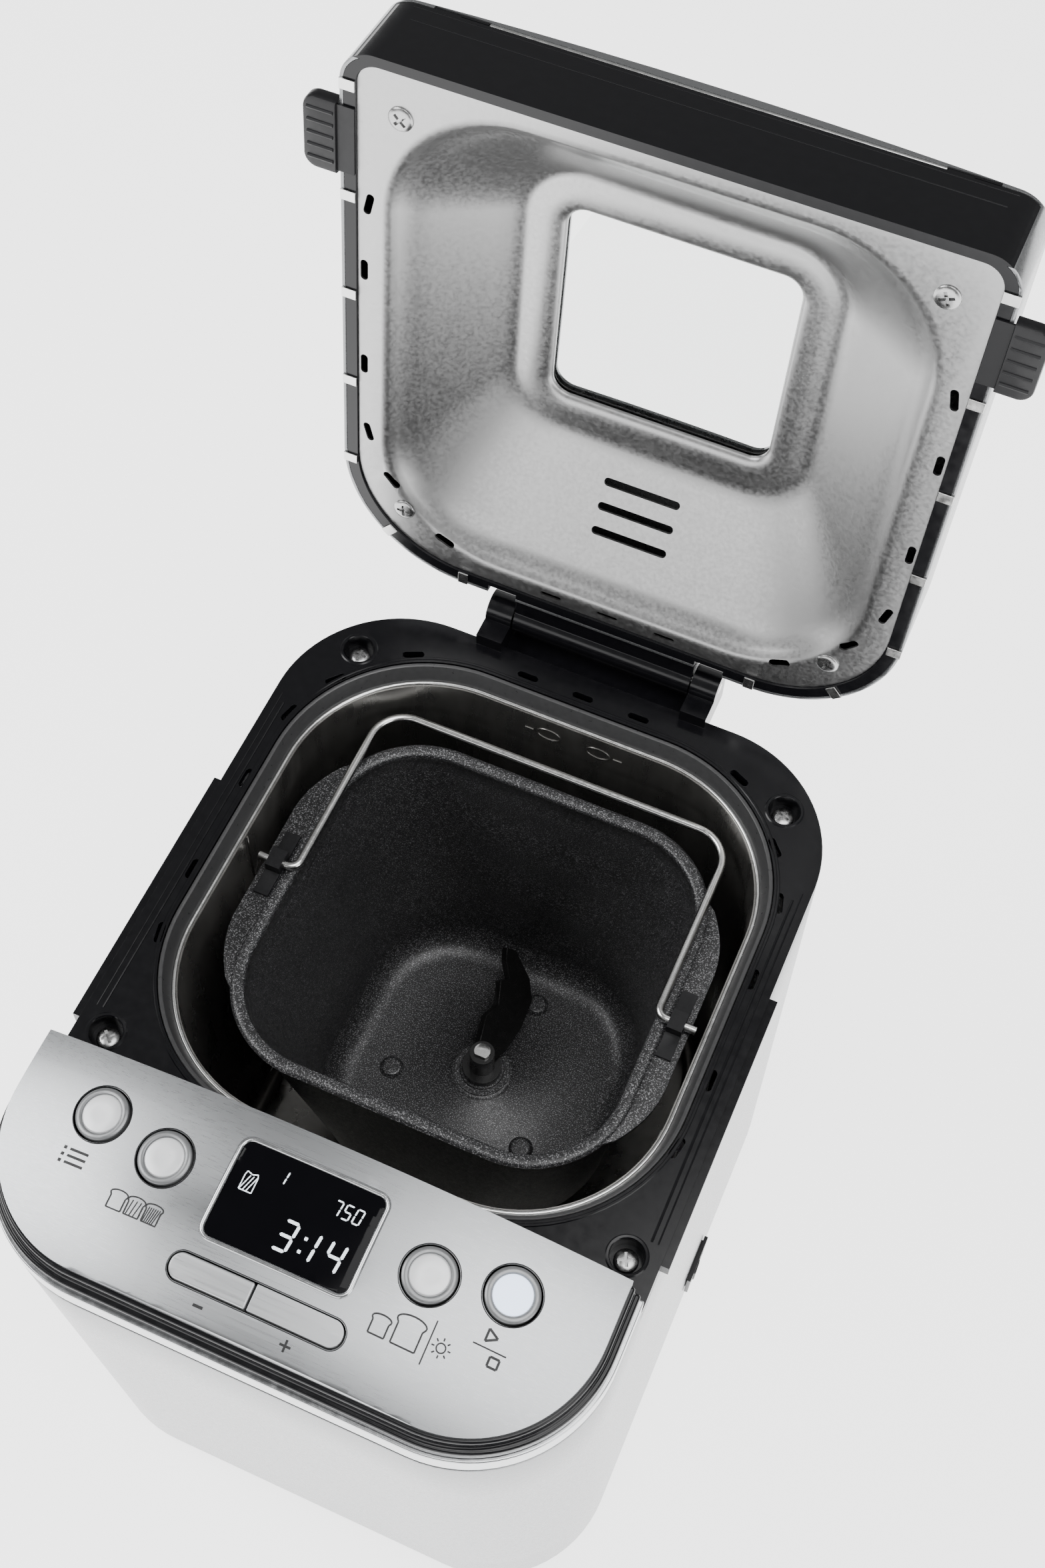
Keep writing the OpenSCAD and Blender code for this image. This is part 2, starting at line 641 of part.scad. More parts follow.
module lid_plan(inset = 0)
    outline(lid_w - 2 * inset, lid_front - inset, body_rear - 0.2 - inset,
        12 - min(inset, 9), corner_r - 0.4 - inset);
module window_plan(grow = 0)
    pad(-window_w / 2 - grow, -window_front - grow, window_w / 2 + grow,
        window_rear + grow, window_r + grow);
module liner_plan(grow = 0) outline(liner_w + 2 * grow, liner_front + grow,
    liner_rear + grow, 8, 45);
module lid_shell() color("silver") on_lid() difference() {
    intersection() {
        layer(lid_z, deck_z + 50) lid_plan();
        lid_crown();
    }
    intersection() {
        layer(lid_z - 1, deck_z + 50) lid_plan(lid_t);
        lid_crown(lid_t);
    }
    // the front is closed by the black frame, so only the top's edge is left here
    translate([-big / 2, -lid_front - 1, lid_z - 1]) cube([big, 3.6, 32]);
    layer(deck_z + 20, deck_z + 60) window_plan();
    knuckle_room();
}
// notches in the lid's rear wall, over the deck's hinge knuckles
module knuckle_room() both() translate([barrel_x - 0.1, 117.4, lid_z - 1])
    cube([knuckle_x - barrel_x + 0.6, 10, 8]);
module lid_frame() color([0.06, 0.06, 0.07]) on_lid() {
    difference() {
        layer(lid_z, deck_z + 28) lid_plan(lid_t + 0.1);
        layer(lid_z - 1, deck_z + 29) lid_plan(lid_t + 2.6);
        layer(lid_z - 1, deck_z + 60) front_of(-lid_front + 2.6);
        knuckle_room();
    }
    difference() {
        layer(lid_z, lid_z + 4) lid_plan(lid_t + 2.6);
        layer(lid_z - 1, lid_z + 5) liner_plan(0.1);
        layer(lid_z - 1, deck_z + 60) front_of(-lid_front + 2.6);
    }
    intersection() {
        layer(lid_z, deck_z + 31.9) intersection() { lid_plan(0.2); front_of(-lid_front + 2.6); }
        lid_crown(lid_t + 0.1);
    }
}
module dome_plan(inset = 0) outline(dome_w - 2 * inset, dome_front - inset,
    dome_rear - inset, 46 - inset / 2, 46 - inset / 2);
module dome(grow, lift) {
    hull() {
        layer(liner_z + lift - 0.1, liner_z + lift) dome_plan(-grow);
        layer(liner_z + 8 + lift, liner_z + 8.1 + lift) dome_plan(8 - grow);
    }
    hull() {
        layer(liner_z + 8 + lift, liner_z + 8.1 + lift) dome_plan(8 - grow);
        layer(dome_top + lift - 0.1, dome_top + lift) window_plan(14 + grow);
    }
}
module lid_liner() color("lightgray") on_lid() difference() {
    union() {
        layer(liner_z, liner_z + liner_t) liner_plan();
        dome(0.9, liner_t);
    }
    dome(0, 0);
    layer(liner_z - 2, liner_z + 0.01) dome_plan();
    layer(deck_z + 20, deck_z + 60) window_plan(-0.6);
    layer(liner_z - 1, liner_z + 2) rim_slots();
    for (s = lid_screw_spots) both() translate([s[0], s[1], liner_z - 1]) cylinder(r = 2.1, h = 3);
    for (i = [0:2]) translate([0, 66.7 + 9 * i, liner_z]) linear_extrude(30) slot(30, 3);
}
module lid_window() color([0.8, 0.85, 0.9, 0.35]) on_lid()
    layer(deck_z + 33.4, deck_z + 36.2) window_plan(5);
module window_gasket() color([0.03, 0.03, 0.03]) on_lid() difference() {
    layer(dome_top + liner_t, deck_z + 36.6) window_plan(8);
    layer(dome_top - 1, deck_z + 50) window_plan(0.2);
    layer(deck_z + 33.4, deck_z + 36.2) window_plan(5);
}
module lid_screws() color("silver") on_lid() for (s = lid_screw_spots) both()
    translate([s[0], s[1], liner_z - 1.2]) {
        cylinder(r = 4.3, h = 1.2);
        cylinder(r = 2, h = 14);
    }
module lid_grips() color([0.08, 0.08, 0.08]) on_lid() both() {
    translate([lid_w / 2 - 5.6, -81, lid_z - 0.8]) cube([8, 27, 0.8]);
    layer(lid_z - 1.8, lid_z + 3.6) pad(lid_w / 2 + 0.6, -81, lid_w / 2 + 12.4, -54, 5);
}
module lid_hinge_barrel() color([0.06, 0.06, 0.07]) on_lid() difference() {
    union() {
        translate([-barrel_x, body_rear - 0.2, deck_z + 2]) cube([2 * barrel_x, 2.4, 16]);
        translate([-barrel_x, body_rear, deck_z + 2]) cube([2 * barrel_x, hinge_y - body_rear, 8]);
        rod_x(6.5, -barrel_x, barrel_x, hinge_y, hinge_z);
    }
    for (s = [-1, 1]) rod_x(hinge_pin_r + run, s > 0 ? barrel_x - 16 : -barrel_x - 4,
        s > 0 ? barrel_x + 4 : -barrel_x + 16, hinge_y, hinge_z);
}
module shell_tabs() color("silver") on_lid() both() {
    for (y = [-88, -46, -5, 35, 74]) translate([lid_w / 2 - 5.4, y - 2, lid_z - 0.7])
        cube([5.4, 4, 0.6]);
    for (t = [48.6, 90]) translate([lid_w / 2 - corner_r + 0.4, body_rear - corner_r + 0.2, lid_z - 0.7])
        rotate(t) translate([corner_r - 5.9, -2, 0]) cube([5.4, 4, 0.6]);
}

body_shell();
base_plate();
feet();
base_screws();
console_frame();
trim_band();
console_seal();
panel_plate();
display_window();
display_module();
control_board();
deck();
deck_screws();
chamber_ring();
chamber_liner();
heating_element();
heater_brackets();
temperature_sensor();
pan_lock_ring();
chassis();
drive_bush();
motor_stator();
power_board();
cord_gland();
switch_bezel();
hinge_pins();
drive_belt();
lid_shell();
lid_frame();
lid_liner();
lid_window();
window_gasket();
lid_screws();
lid_grips();
lid_hinge_barrel();
shell_tabs();
thrust_washer();
pan();
pan_base();
pan_bush();
shaft_seal();
bail_brackets();
bail_handle();
pan_shaft();
kneading_paddle();
drive_shaft();
large_pulley();
motor_rotor();
motor_pulley();
button_program();
button_crust();
button_weight();
button_start();
key_minus();
key_plus();
switch_rocker();
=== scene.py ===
import json
import math

import bmesh
import bpy
from mathutils import Matrix, Vector

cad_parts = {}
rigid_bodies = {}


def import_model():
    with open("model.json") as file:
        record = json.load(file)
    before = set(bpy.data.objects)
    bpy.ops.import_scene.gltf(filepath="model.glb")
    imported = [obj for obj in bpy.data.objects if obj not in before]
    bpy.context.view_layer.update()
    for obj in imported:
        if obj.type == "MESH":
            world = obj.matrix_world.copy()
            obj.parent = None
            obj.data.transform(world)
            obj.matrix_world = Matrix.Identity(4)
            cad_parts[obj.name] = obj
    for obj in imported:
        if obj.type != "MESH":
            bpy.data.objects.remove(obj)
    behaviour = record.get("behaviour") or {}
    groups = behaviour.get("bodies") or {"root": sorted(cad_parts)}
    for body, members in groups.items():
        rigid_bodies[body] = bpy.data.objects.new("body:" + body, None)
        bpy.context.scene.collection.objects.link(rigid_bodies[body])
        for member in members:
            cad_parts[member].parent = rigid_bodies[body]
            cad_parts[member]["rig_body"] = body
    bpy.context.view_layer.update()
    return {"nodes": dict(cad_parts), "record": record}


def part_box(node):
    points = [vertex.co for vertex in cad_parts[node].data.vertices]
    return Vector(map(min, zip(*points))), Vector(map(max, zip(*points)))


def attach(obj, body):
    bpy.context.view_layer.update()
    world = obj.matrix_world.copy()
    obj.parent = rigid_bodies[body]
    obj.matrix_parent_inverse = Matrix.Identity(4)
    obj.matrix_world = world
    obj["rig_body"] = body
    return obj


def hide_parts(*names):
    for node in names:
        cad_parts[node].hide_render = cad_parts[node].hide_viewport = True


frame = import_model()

# Shapes below are in millimetres from the middle of the deck's top, x right, y back, z up.
MM = 0.001
record = frame["record"]
joints = {j["name"]: j for j in record["behaviour"]["joints"]}
shaft_lo, shaft_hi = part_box("drive_shaft")
SHAFT_Y = 19.0
RING_DROP = 0.6  # the chamber ring's top lies this far under the deck's
DECK = Vector((0, (shaft_lo.y + shaft_hi.y) / 2 - SHAFT_Y * MM,
               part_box("chamber_ring")[1].z + RING_DROP * MM))
TO_ROW = Matrix.Translation(DECK) @ Matrix.Scale(MM, 4)
# the lid's shapes are drawn closed and swung open about the hinge
HINGE = Vector(joints["lid_hinge"]["pos_m"])
LID_OPEN = math.radians(joints["lid_hinge"]["range_deg"][0])
LID_TO_ROW = (Matrix.Translation(HINGE) @ Matrix.Rotation(LID_OPEN, 4, "X")
              @ Matrix.Translation(-HINGE) @ TO_ROW)

# ---------------------------------------------------------------- materials

def material(name, colour, rough, metal=0.0, scale=300, stretch=(1, 1, 1), vary=0.08,
             rough_vary=0.06, bump=0.02, speck=None, **sockets):
    """Noise-driven colour, roughness and bump. speck = (scale, colour, low, high) adds flecks."""
    m = bpy.data.materials.new(name)
    m.use_nodes = True
    tree = m.node_tree
    new, link = tree.nodes.new, tree.links.new
    shader = tree.nodes["Principled BSDF"]
    place = new("ShaderNodeTexCoord")
    mapping = new("ShaderNodeMapping")
    mapping.inputs["Scale"].default_value = [s * scale for s in stretch]
    link(place.outputs["Object"], mapping.inputs["Vector"])
    noise = new("ShaderNodeTexNoise")
    noise.inputs["Scale"].default_value = 1.0
    noise.inputs["Detail"].default_value = 5.0
    link(mapping.outputs[0], noise.inputs["Vector"])
    mix = new("ShaderNodeMix")
    mix.data_type = "RGBA"
    link(noise.outputs["Fac"], mix.inputs["Factor"])
    mix.inputs["A"].default_value = [c * (1 - vary) for c in colour] + [1]
    mix.inputs["B"].default_value = [min(1, c * (1 + vary)) for c in colour] + [1]
    out = mix.outputs["Result"]
    if speck:
        flecks = new("ShaderNodeTexNoise")
        flecks.inputs["Scale"].default_value = speck[0]
        flecks.inputs["Detail"].default_value = 2.0
        link(place.outputs["Object"], flecks.inputs["Vector"])
        ramp = new("ShaderNodeMapRange")
        ramp.inputs["From Min"].default_value = speck[2]
        ramp.inputs["From Max"].default_value = speck[3]
        link(flecks.outputs["Fac"], ramp.inputs["Value"])
        over = new("ShaderNodeMix")
        over.data_type = "RGBA"
        link(ramp.outputs["Result"], over.inputs["Factor"])
        link(out, over.inputs["A"])
        over.inputs["B"].default_value = list(speck[1]) + [1]
        out = over.outputs["Result"]
    link(out, shader.inputs["Base Color"])
    spread = new("ShaderNodeMapRange")
    spread.inputs["From Min"].default_value = 0.3
    spread.inputs["From Max"].default_value = 0.7
    spread.inputs["To Min"].default_value = max(0.002, rough - rough_vary)
    spread.inputs["To Max"].default_value = rough + rough_vary
    link(noise.outputs["Fac"], spread.inputs["Value"])
    link(spread.outputs["Result"], shader.inputs["Roughness"])
    if bump:
        relief = new("ShaderNodeBump")
        relief.inputs["Strength"].default_value = bump
        relief.inputs["Distance"].default_value = 0.0002
        link((flecks if speck else noise).outputs["Fac"], relief.inputs["Height"])
        link(relief.outputs["Normal"], shader.inputs["Normal"])
    shader.inputs["Metallic"].default_value = metal
    for socket, value in sockets.items():
        shader.inputs[socket.replace("_", " ")].default_value = value
    return m


MAT = {
    "silver": material("silver_lacquer", (0.25, 0.255, 0.26), 0.3, 0.8, 900, vary=0.03, bump=0.03,
                       Coat_Weight=0.3, Coat_Roughness=0.25),
    "trim": material("trim_silver", (0.55, 0.56, 0.57), 0.18, 0.95, 500, vary=0.04, bump=0.01),
    "black": material("black_plastic", (0.004, 0.004, 0.005), 0.2, 0, 260, vary=0.2,
                      rough_vary=0.04, bump=0.03, Specular_IOR_Level=0.35),
    "satin_black": material("satin_black", (0.007, 0.007, 0.008), 0.4, 0, 700, vary=0.2, bump=0.06,
                            Specular_IOR_Level=0.3),
    "panel": material("brushed_panel", (0.37, 0.38, 0.39), 0.29, 1.0, 2600, (0.012, 1, 1),
                      0.035, 0.03, 0, Anisotropic=0.5),
    "liner": material("liner_steel", (0.43, 0.43, 0.43), 0.36, 1.0, 700, vary=0.07, bump=0.06),
    "glass_black": material("display_glass", (0.002, 0.002, 0.003), 0.1, 0, 90, vary=0.2,
                            rough_vary=0.02, bump=0, Specular_IOR_Level=0.12),
    "glass": material("window_glass", (0.97, 0.985, 0.98), 0.005, 0, 60, vary=0.01,
                      rough_vary=0.002, bump=0, Transmission_Weight=1.0, IOR=1.45),
    "key": material("satin_key", (0.50, 0.51, 0.52), 0.33, 0.7, 1200, (0.02, 1, 1), 0.06,
                    bump=0.03),
    "key_ring": material("key_ring", (0.24, 0.245, 0.25), 0.34, 0.6, 600, vary=0.06, bump=0.03),
    # grey button caps: a light grey with a faint white glow, painted light that makes them look
    # brighter, as they hold no lamp
    "disc": material("button_cap", (0.66, 0.67, 0.68), 0.32, 0.3, 200, vary=0.02, bump=0.01,
                     Emission_Color=(1, 1, 1, 1), Emission_Strength=0.22),
    "start": material("start_cap", (0.72, 0.78, 0.9), 0.3, 0, 200, vary=0.02, bump=0.01,
                      Emission_Color=(0.62, 0.76, 1.0, 1), Emission_Strength=2.2),
    "ring": material("ring_plastic", (0.042, 0.042, 0.043), 0.33, 0, 500, vary=0.15, bump=0.06),
    "chamber": material("chamber_steel", (0.24, 0.235, 0.225), 0.3, 0.9, 120, (1, 1, 0.3), 0.25,
                        0.08, 0.04),
    "rim": material("rolled_steel", (0.72, 0.72, 0.71), 0.22, 1.0, 400, vary=0.06, bump=0.03),
    "steel": material("bright_steel", (0.70, 0.70, 0.69), 0.2, 1.0, 600, vary=0.06, bump=0.03),
    "screw": material("screw_steel", (0.42, 0.42, 0.42), 0.27, 1.0, 600, vary=0.08, bump=0.04),
    "heater": material("heater_sheath", (0.09, 0.085, 0.08), 0.45, 0.7, 300, vary=0.3, bump=0.15),
    "plain": material("plain_metal", (0.5, 0.5, 0.51), 0.4, 0.9, 300, vary=0.1, bump=0.05),
    "pan": material("pan_coating", (0.018, 0.018, 0.019), 0.38, 0.2, 500, vary=0.2, rough_vary=0.06,
                    bump=0.12, speck=(2200, (0.32, 0.32, 0.33), 0.54, 0.7)),
    "rubber": material("black_rubber", (0.014, 0.014, 0.014), 0.6, 0, 800, vary=0.2, bump=0.2),
    "paddle": material("paddle_coating", (0.009, 0.009, 0.009), 0.24, 0, 300, vary=0.2, bump=0.01),
    "bronze": material("sintered_bronze", (0.33, 0.22, 0.1), 0.45, 0.9, 700, vary=0.15, bump=0.1),
    "board": material("board_green", (0.02, 0.12, 0.05), 0.4, 0, 400, vary=0.3, bump=0.05,
                      speck=(300, (0.35, 0.25, 0.1), 0.62, 0.66)),
    "iron": material("motor_iron", (0.16, 0.16, 0.165), 0.5, 0.8, 300, vary=0.2, bump=0.15),
    "ink": material("printed_ink", (0.01, 0.01, 0.011), 0.5, 0, 900, vary=0.2, bump=0.02),
    "lit": material("lit_segments", (0.8, 0.86, 0.9), 0.4, 0, 900, vary=0.05, bump=0,
                    Emission_Color=(0.82, 0.9, 1.0, 1), Emission_Strength=1.1),
    "floor": material("paper_floor", (0.9, 0.9, 0.9), 0.8, 0, 20, vary=0.01, bump=0.02,
                      Emission_Color=(1, 1, 1, 1), Emission_Strength=2.4),
}

# ---------------------------------------------------------------- building

def finish_mesh(name, mesh, mat, body, replaces=(), sharp=35):
    """Links a mesh that is already in the row frame, and says what it rides on and stands for."""
    obj = bpy.data.objects.new(name, mesh)
    bpy.context.scene.collection.objects.link(obj)
    for m in (mat if isinstance(mat, (list, tuple)) else [mat]):
        mesh.materials.append(MAT[m])
    mesh.shade_smooth()
    mesh.set_sharp_from_angle(angle=math.radians(sharp))
    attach(obj, body)
    for node in replaces:
        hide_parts(node)
    return obj


def build(name, verts, faces, mat, body, slot, replaces=(), lid=False, sharp=35):
    """Makes a piece from verts in millimetres; lid says that they are drawn for the closed lid."""
    mesh = bpy.data.meshes.new(name)
    mesh.from_pydata([tuple(v) for v in verts], [], faces)
    mesh.transform(LID_TO_ROW if lid else TO_ROW)
    bm = bmesh.new()
    bm.from_mesh(mesh)
    bmesh.ops.remove_doubles(bm, verts=bm.verts, dist=1e-7)
    bmesh.ops.recalc_face_normals(bm, faces=bm.faces)
    bm.to_mesh(mesh)
    bm.free()
    return finish_mesh(name, mesh, mat, body, replaces, sharp)


def outline(plan, inset=0.0, corner=12, side=(), cross=6):
    """Points round a plan (width, front, rear, front radius, rear radius), counter-clockwise from
    the front right corner. side: the y of extra points on the straight sides, or how many."""
    w, front, rear, rf, rr = plan
    h, front, rear = w / 2 - inset, front - inset, rear - inset
    rf, rr = max(rf - inset, 0.4), max(rr - inset, 0.4)
    pts = []

    def arc(cx, cy, r, start):
        for j in range(corner + 1):
            a = math.radians(start + 90 * j / corner)
            pts.append((cx + r * math.cos(a), cy + r * math.sin(a)))

    def across(x0, x1, y):
        pts.extend((x0 + (x1 - x0) * j / cross, y) for j in range(1, cross))
    if isinstance(side, int):
        low, high = -front + rf, rear - rr
        side = [low + (high - low) * (j + 1) / (side + 1) for j in range(side)]
    arc(h - rf, -front + rf, rf, -90)
    pts.extend((h, y) for y in side)
    arc(h - rr, rear - rr, rr, 0)
    across(h - rr, rr - h, rear)
    arc(-h + rr, rear - rr, rr, 90)
    pts.extend((-h, y) for y in reversed(side))
    arc(-h + rf, -front + rf, rf, 180)
    across(rf - h, h - rf, -front)
    return pts


def loft(rings, closed=False, cap=(False, False)):
    """Verts and faces of a skin through rings of equal length."""
    n = len(rings[0])
    verts = [p for ring in rings for p in ring]
    faces = []
    count = len(rings)
    for r in range(count if closed else count - 1):
        a, b = r * n, ((r + 1) % count) * n
        faces += [(a + i, a + (i + 1) % n, b + (i + 1) % n, b + i) for i in range(n)]
    if cap[0]:
        faces.append(tuple(reversed(range(n))))
    if cap[1]:
        faces.append(tuple(range((count - 1) * n, count * n)))
    return verts, faces


def plan_loft(plans, corner=12, side=(), cross=6, **how):
    """plans = [(plan, inset, z)] where z is a number or a function of the point."""
    rings = []
    for plan, inset, z in plans:
        rings.append([(x, y, z(x, y) if callable(z) else z)
                      for x, y in outline(plan, inset, corner, side, cross)])
    return loft(rings, **how)


def revolve(profile, centre=(0, 0), steps=64, closed=True):
    """profile = [(r, z)] turned about a vertical axis; r of 0 closes the skin on the axis."""
    rings = [[(centre[0] + r * math.cos(2 * math.pi * i / steps),
               centre[1] + r * math.sin(2 * math.pi * i / steps), z) for i in range(steps)]
             for r, z in profile]
    return loft(rings, closed=closed)


def join(*parts):
    verts, faces = [], []
    for v, f in parts:
        base = len(verts)
        verts += v
        faces += [tuple(base + i for i in face) for face in f]
    return verts, faces


def moved(part, matrix):
    return [tuple(matrix @ Vector(v)) for v in part[0]], part[1]


def prism(points, z0, z1):
    n = len(points)
    low = [(x, y, z0) for x, y in points]
    high = [(x, y, z1) for x, y in points]
    return loft([low, high], cap=(True, True))


def slot_points(cx, cy, length, width, turn, steps=8):
    """A slot's outline: a rectangle with round ends, turned by so many degrees."""
    pts, r, half = [], width / 2, (length - width) / 2
    for end in (1, -1):
        for j in range(steps + 1):
            a = math.radians(-90 + 180 * j / steps + (0 if end > 0 else 180))
            pts.append((end * half + r * math.cos(a), r * math.sin(a)))
    t = math.radians(turn)
    return [(cx + x * math.cos(t) - y * math.sin(t), cy + x * math.sin(t) + y * math.cos(t))
            for x, y in pts]


def tube(path, r, sides=10, closed=False):
    """A round tube along points, with flat ends."""
    pts = [Vector(p) for p in path]
    rings = []
    side = None
    for i, p in enumerate(pts):
        before = pts[i - 1] if (i or closed) else pts[0]
        after = pts[(i + 1) % len(pts)] if (i + 1 < len(pts) or closed) else pts[-1]
        along = (after - before).normalized()
        if side is None:
            side = along.orthogonal().normalized()
        side = (side - along * side.dot(along)).normalized()
        other = along.cross(side)
        rings.append([tuple(p + r * (math.cos(2 * math.pi * k / sides) * side
                                     + math.sin(2 * math.pi * k / sides) * other))
                      for k in range(sides)])
    return loft(rings, closed=closed, cap=(not closed, not closed))


def apply_modifiers(obj):
    deps = bpy.context.evaluated_depsgraph_get()
    done = bpy.data.meshes.new_from_object(obj.evaluated_get(deps))
    obj.modifiers.clear()
    obj.data = done


def cut(obj, parts, lid=False):
    """Cuts closed parts out of obj."""
    for i, (verts, faces) in enumerate(parts):
        mesh = bpy.data.meshes.new("cutter")
        mesh.from_pydata([tuple(v) for v in verts], [], faces)
        mesh.transform(LID_TO_ROW if lid else TO_ROW)
        bm = bmesh.new()
        bm.from_mesh(mesh)
        bmesh.ops.recalc_face_normals(bm, faces=bm.faces)
        bm.to_mesh(mesh)
        bm.free()
        cutter = bpy.data.objects.new("cutter", mesh)
        bpy.context.scene.collection.objects.link(cutter)
        modifier = obj.modifiers.new("cut", "BOOLEAN")
        modifier.operation = "DIFFERENCE"
        modifier.solver = "EXACT"
        modifier.object = cutter
        bpy.context.view_layer.update()
        apply_modifiers(obj)
        bpy.data.objects.remove(cutter)


def refine(node, mat, bevel=0.4, slot=None, name=None, flat=0.6, segments=2, sharp=35,
           broad=False):
    """A copy of a CAD node with its edges rounded, which stands for it. broad keeps wide faces
    flat."""
    source = frame["nodes"][node]
    mesh = source.data.copy()
    mesh.materials.clear()
    bm = bmesh.new()
    bm.from_mesh(mesh)
    bmesh.ops.remove_doubles(bm, verts=bm.verts, dist=2e-6)
    bmesh.ops.dissolve_limit(bm, angle_limit=math.radians(flat), verts=bm.verts, edges=bm.edges)
    bm.to_mesh(mesh)
    bm.free()
    slot = slot or next(s["material_slot"] for s in record["subparts"] if s["node"] == node)
    obj = finish_mesh(name or node + "_made", mesh, mat, source["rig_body"], (node,), sharp)
    if bevel:
        modifier = obj.modifiers.new("edges", "BEVEL")
        modifier.width = bevel * MM
        modifier.segments = segments
        modifier.limit_method = "ANGLE"
        modifier.angle_limit = math.radians(40)
        modifier.harden_normals = not broad
        modifier.use_clamp_overlap = True
        if broad:
            weighted = obj.modifiers.new("normals", "WEIGHTED_NORMAL")
            weighted.weight, weighted.keep_sharp = 90, True
        bpy.context.view_layer.update()
        apply_modifiers(obj)
    return obj


def paint(node, mat):
    """A CAD node that stays as it is, with a better material."""
    data = frame["nodes"][node].data
    data.materials.clear()
    data.materials.append(MAT[mat])
    data.shade_smooth()
    data.set_sharp_from_angle(angle=math.radians(30))


def mirror_x(part):
    return [(-x, y, z) for x, y, z in part[0]], [tuple(reversed(f)) for f in part[1]]


# ---------------------------------------------------------------- body

BODY_TOP, BODY_BACK_TOP, BODY_FOOT, WALL = 3.0, -8.0, -248.0, 2.4
CONSOLE_Y = -102.0


def body_plan(z):
    t = (z - BODY_FOOT) / (BODY_TOP - BODY_FOOT)
    return (230 - 10 * t, 162 + 13 * t, 121, 51, 51)


def body_ring(inset, z_of):
    side = (CONSOLE_Y - 0.02, CONSOLE_Y + 0.02, -60, -15, 30)
    ring = []
    tall = outline(body_plan(BODY_TOP), inset, 16, side, 10)
    for i, (_, y_top) in enumerate(tall):
        z = z_of(BODY_TOP if y_top < CONSOLE_Y else BODY_BACK_TOP)
        x, y = outline(body_plan(z), inset, 16, side, 10)[i]
        ring.append((x, y, z))
    return ring


body_steps = [(WALL, lambda t: BODY_FOOT), (1.2, lambda t: BODY_FOOT),
              (0.35, lambda t: BODY_FOOT + 0.35), (0.0, lambda t: BODY_FOOT + 1.2)]
body_steps += [(0.0, lambda t, f=f: BODY_FOOT + f * (t - BODY_FOOT)) for f in (0.2, 0.4, 0.6, 0.8)]
body_steps += [(0.0, lambda t: t - 0.9), (0.25, lambda t: t - 0.25), (0.9, lambda t: t),
               (WALL - 0.4, lambda t: t), (WALL, lambda t: t - 0.4)]
body = build("body_skin", *loft([body_ring(i, z) for i, z in body_steps], closed=True),
             "silver", "base", "silver", ("body_shell",), sharp=40)
# holes for the switch, the cord's gland and the rear vents
REAR, CUT = 121, 10
SWITCH_Y, SWITCH_Z = (-15.5, 3.5), (-229.5, -216.5)
GLAND = (50, REAR, -224)
GLAND_R = 6.5
VENT_X, VENT_STEP, VENT_COUNT, VENT_Z = -64, 12, 8, -201
cutters = [prism([(100, SWITCH_Y[0]), (130, SWITCH_Y[0]), (130, SWITCH_Y[1]), (100, SWITCH_Y[1])],
                 *SWITCH_Z)]
cutters.append(moved(revolve([(0, -CUT), (GLAND_R, -CUT), (GLAND_R, CUT), (0, CUT)], closed=False),
                     Matrix.Translation(GLAND) @ Matrix.Rotation(math.radians(-90), 4, "X")))
for i in range(VENT_COUNT):
    cutters.append(moved(prism(slot_points(0, 0, 46, 4, 90), -CUT, CUT),
                         Matrix.Translation((VENT_X + VENT_STEP * i, REAR, VENT_Z))
                         @ Matrix.Rotation(math.radians(90), 4, "X")))
cut(body, cutters)
body.data.set_sharp_from_angle(angle=math.radians(40))

refine("base_plate", "satin_black", 0.5)
refine("feet", "rubber", 0.8)
refine("console_frame", "black", 0.35)
refine("trim_band", "trim", 0.6, segments=3)
refine("console_seal", "black", 1.0, segments=3)
refine("cord_gland", "rubber", 0.6)
refine("switch_bezel", "black", 0.4)
refine("switch_rocker", "satin_black", 0.4)

# ---------------------------------------------------------------- console

CROWN_TOP, CROWN_Y, CROWN_RX, CROWN_RY = 39.5, -107.0, 600.0, 228.0


def crown(x, y, rise=0.0):
    """Height of the console's plate."""
    across = CROWN_RY - CROWN_RX + math.sqrt(CROWN_RX ** 2 - x * x)
    return CROWN_TOP - CROWN_RY + math.sqrt(across ** 2 - (y - CROWN_Y) ** 2) + rise


def crown_matrix(x, y, rise=0.0):
    """A frame lying on the plate at a point."""
    d = 0.5
    sx = (crown(x + d, y) - crown(x - d, y)) / (2 * d)
    sy = (crown(x, y + d) - crown(x, y - d)) / (2 * d)
    normal = Vector((-sx, -sy, 1)).normalized()
    turn = Vector((0, 0, 1)).rotation_difference(normal).to_matrix().to_4x4()
    return Matrix.Translation((x, y, crown(x, y) + rise)) @ turn


refine("panel_plate", "panel", 0.5, flat=0.2, segments=3, sharp=30)

DISPLAY = (50.0, 144.6, -112.2, 3.0, 3.0)


def display_path(grow):
    plan = (DISPLAY[0] + 2 * grow, DISPLAY[1] + grow, DISPLAY[2] + grow, 3 + grow, 3 + grow)
    return outline(plan, 0, 6, (-135, -128, -121), 8)


bezel = [[(x, y, crown(x, y, lift)) for x, y in display_path(grow)]
         for grow, lift in ((1.9, -0.4), (1.75, 0.25), (1.2, 0.6), (0.55, 0.55), (0.15, 0.15),
                            (0.05, -1.5))]
# the display's pressed rim is the plate's own steel, but it is drawn in the lighter trim silver: a
# painted highlight along the rim
build("display_bezel", *loft(bezel), "trim", "base", "panel_steel", sharp=60)
refine("display_window", "glass_black", 0.5, flat=0.2)

SEGMENTS = {"a": ((0, 2), (1, 2)), "b": ((1, 2), (1, 1)), "c": ((1, 1), (1, 0)),
            "d": ((0, 0), (1, 0)), "e": ((0, 0), (0, 1)), "f": ((0, 1), (0, 2)),
            "g": ((0, 1), (1, 1))}
DIGITS = {"0": "abcdef", "1": "bc", "3": "abgcd", "4": "fgbc", "5": "afgcd", "7": "abc"}


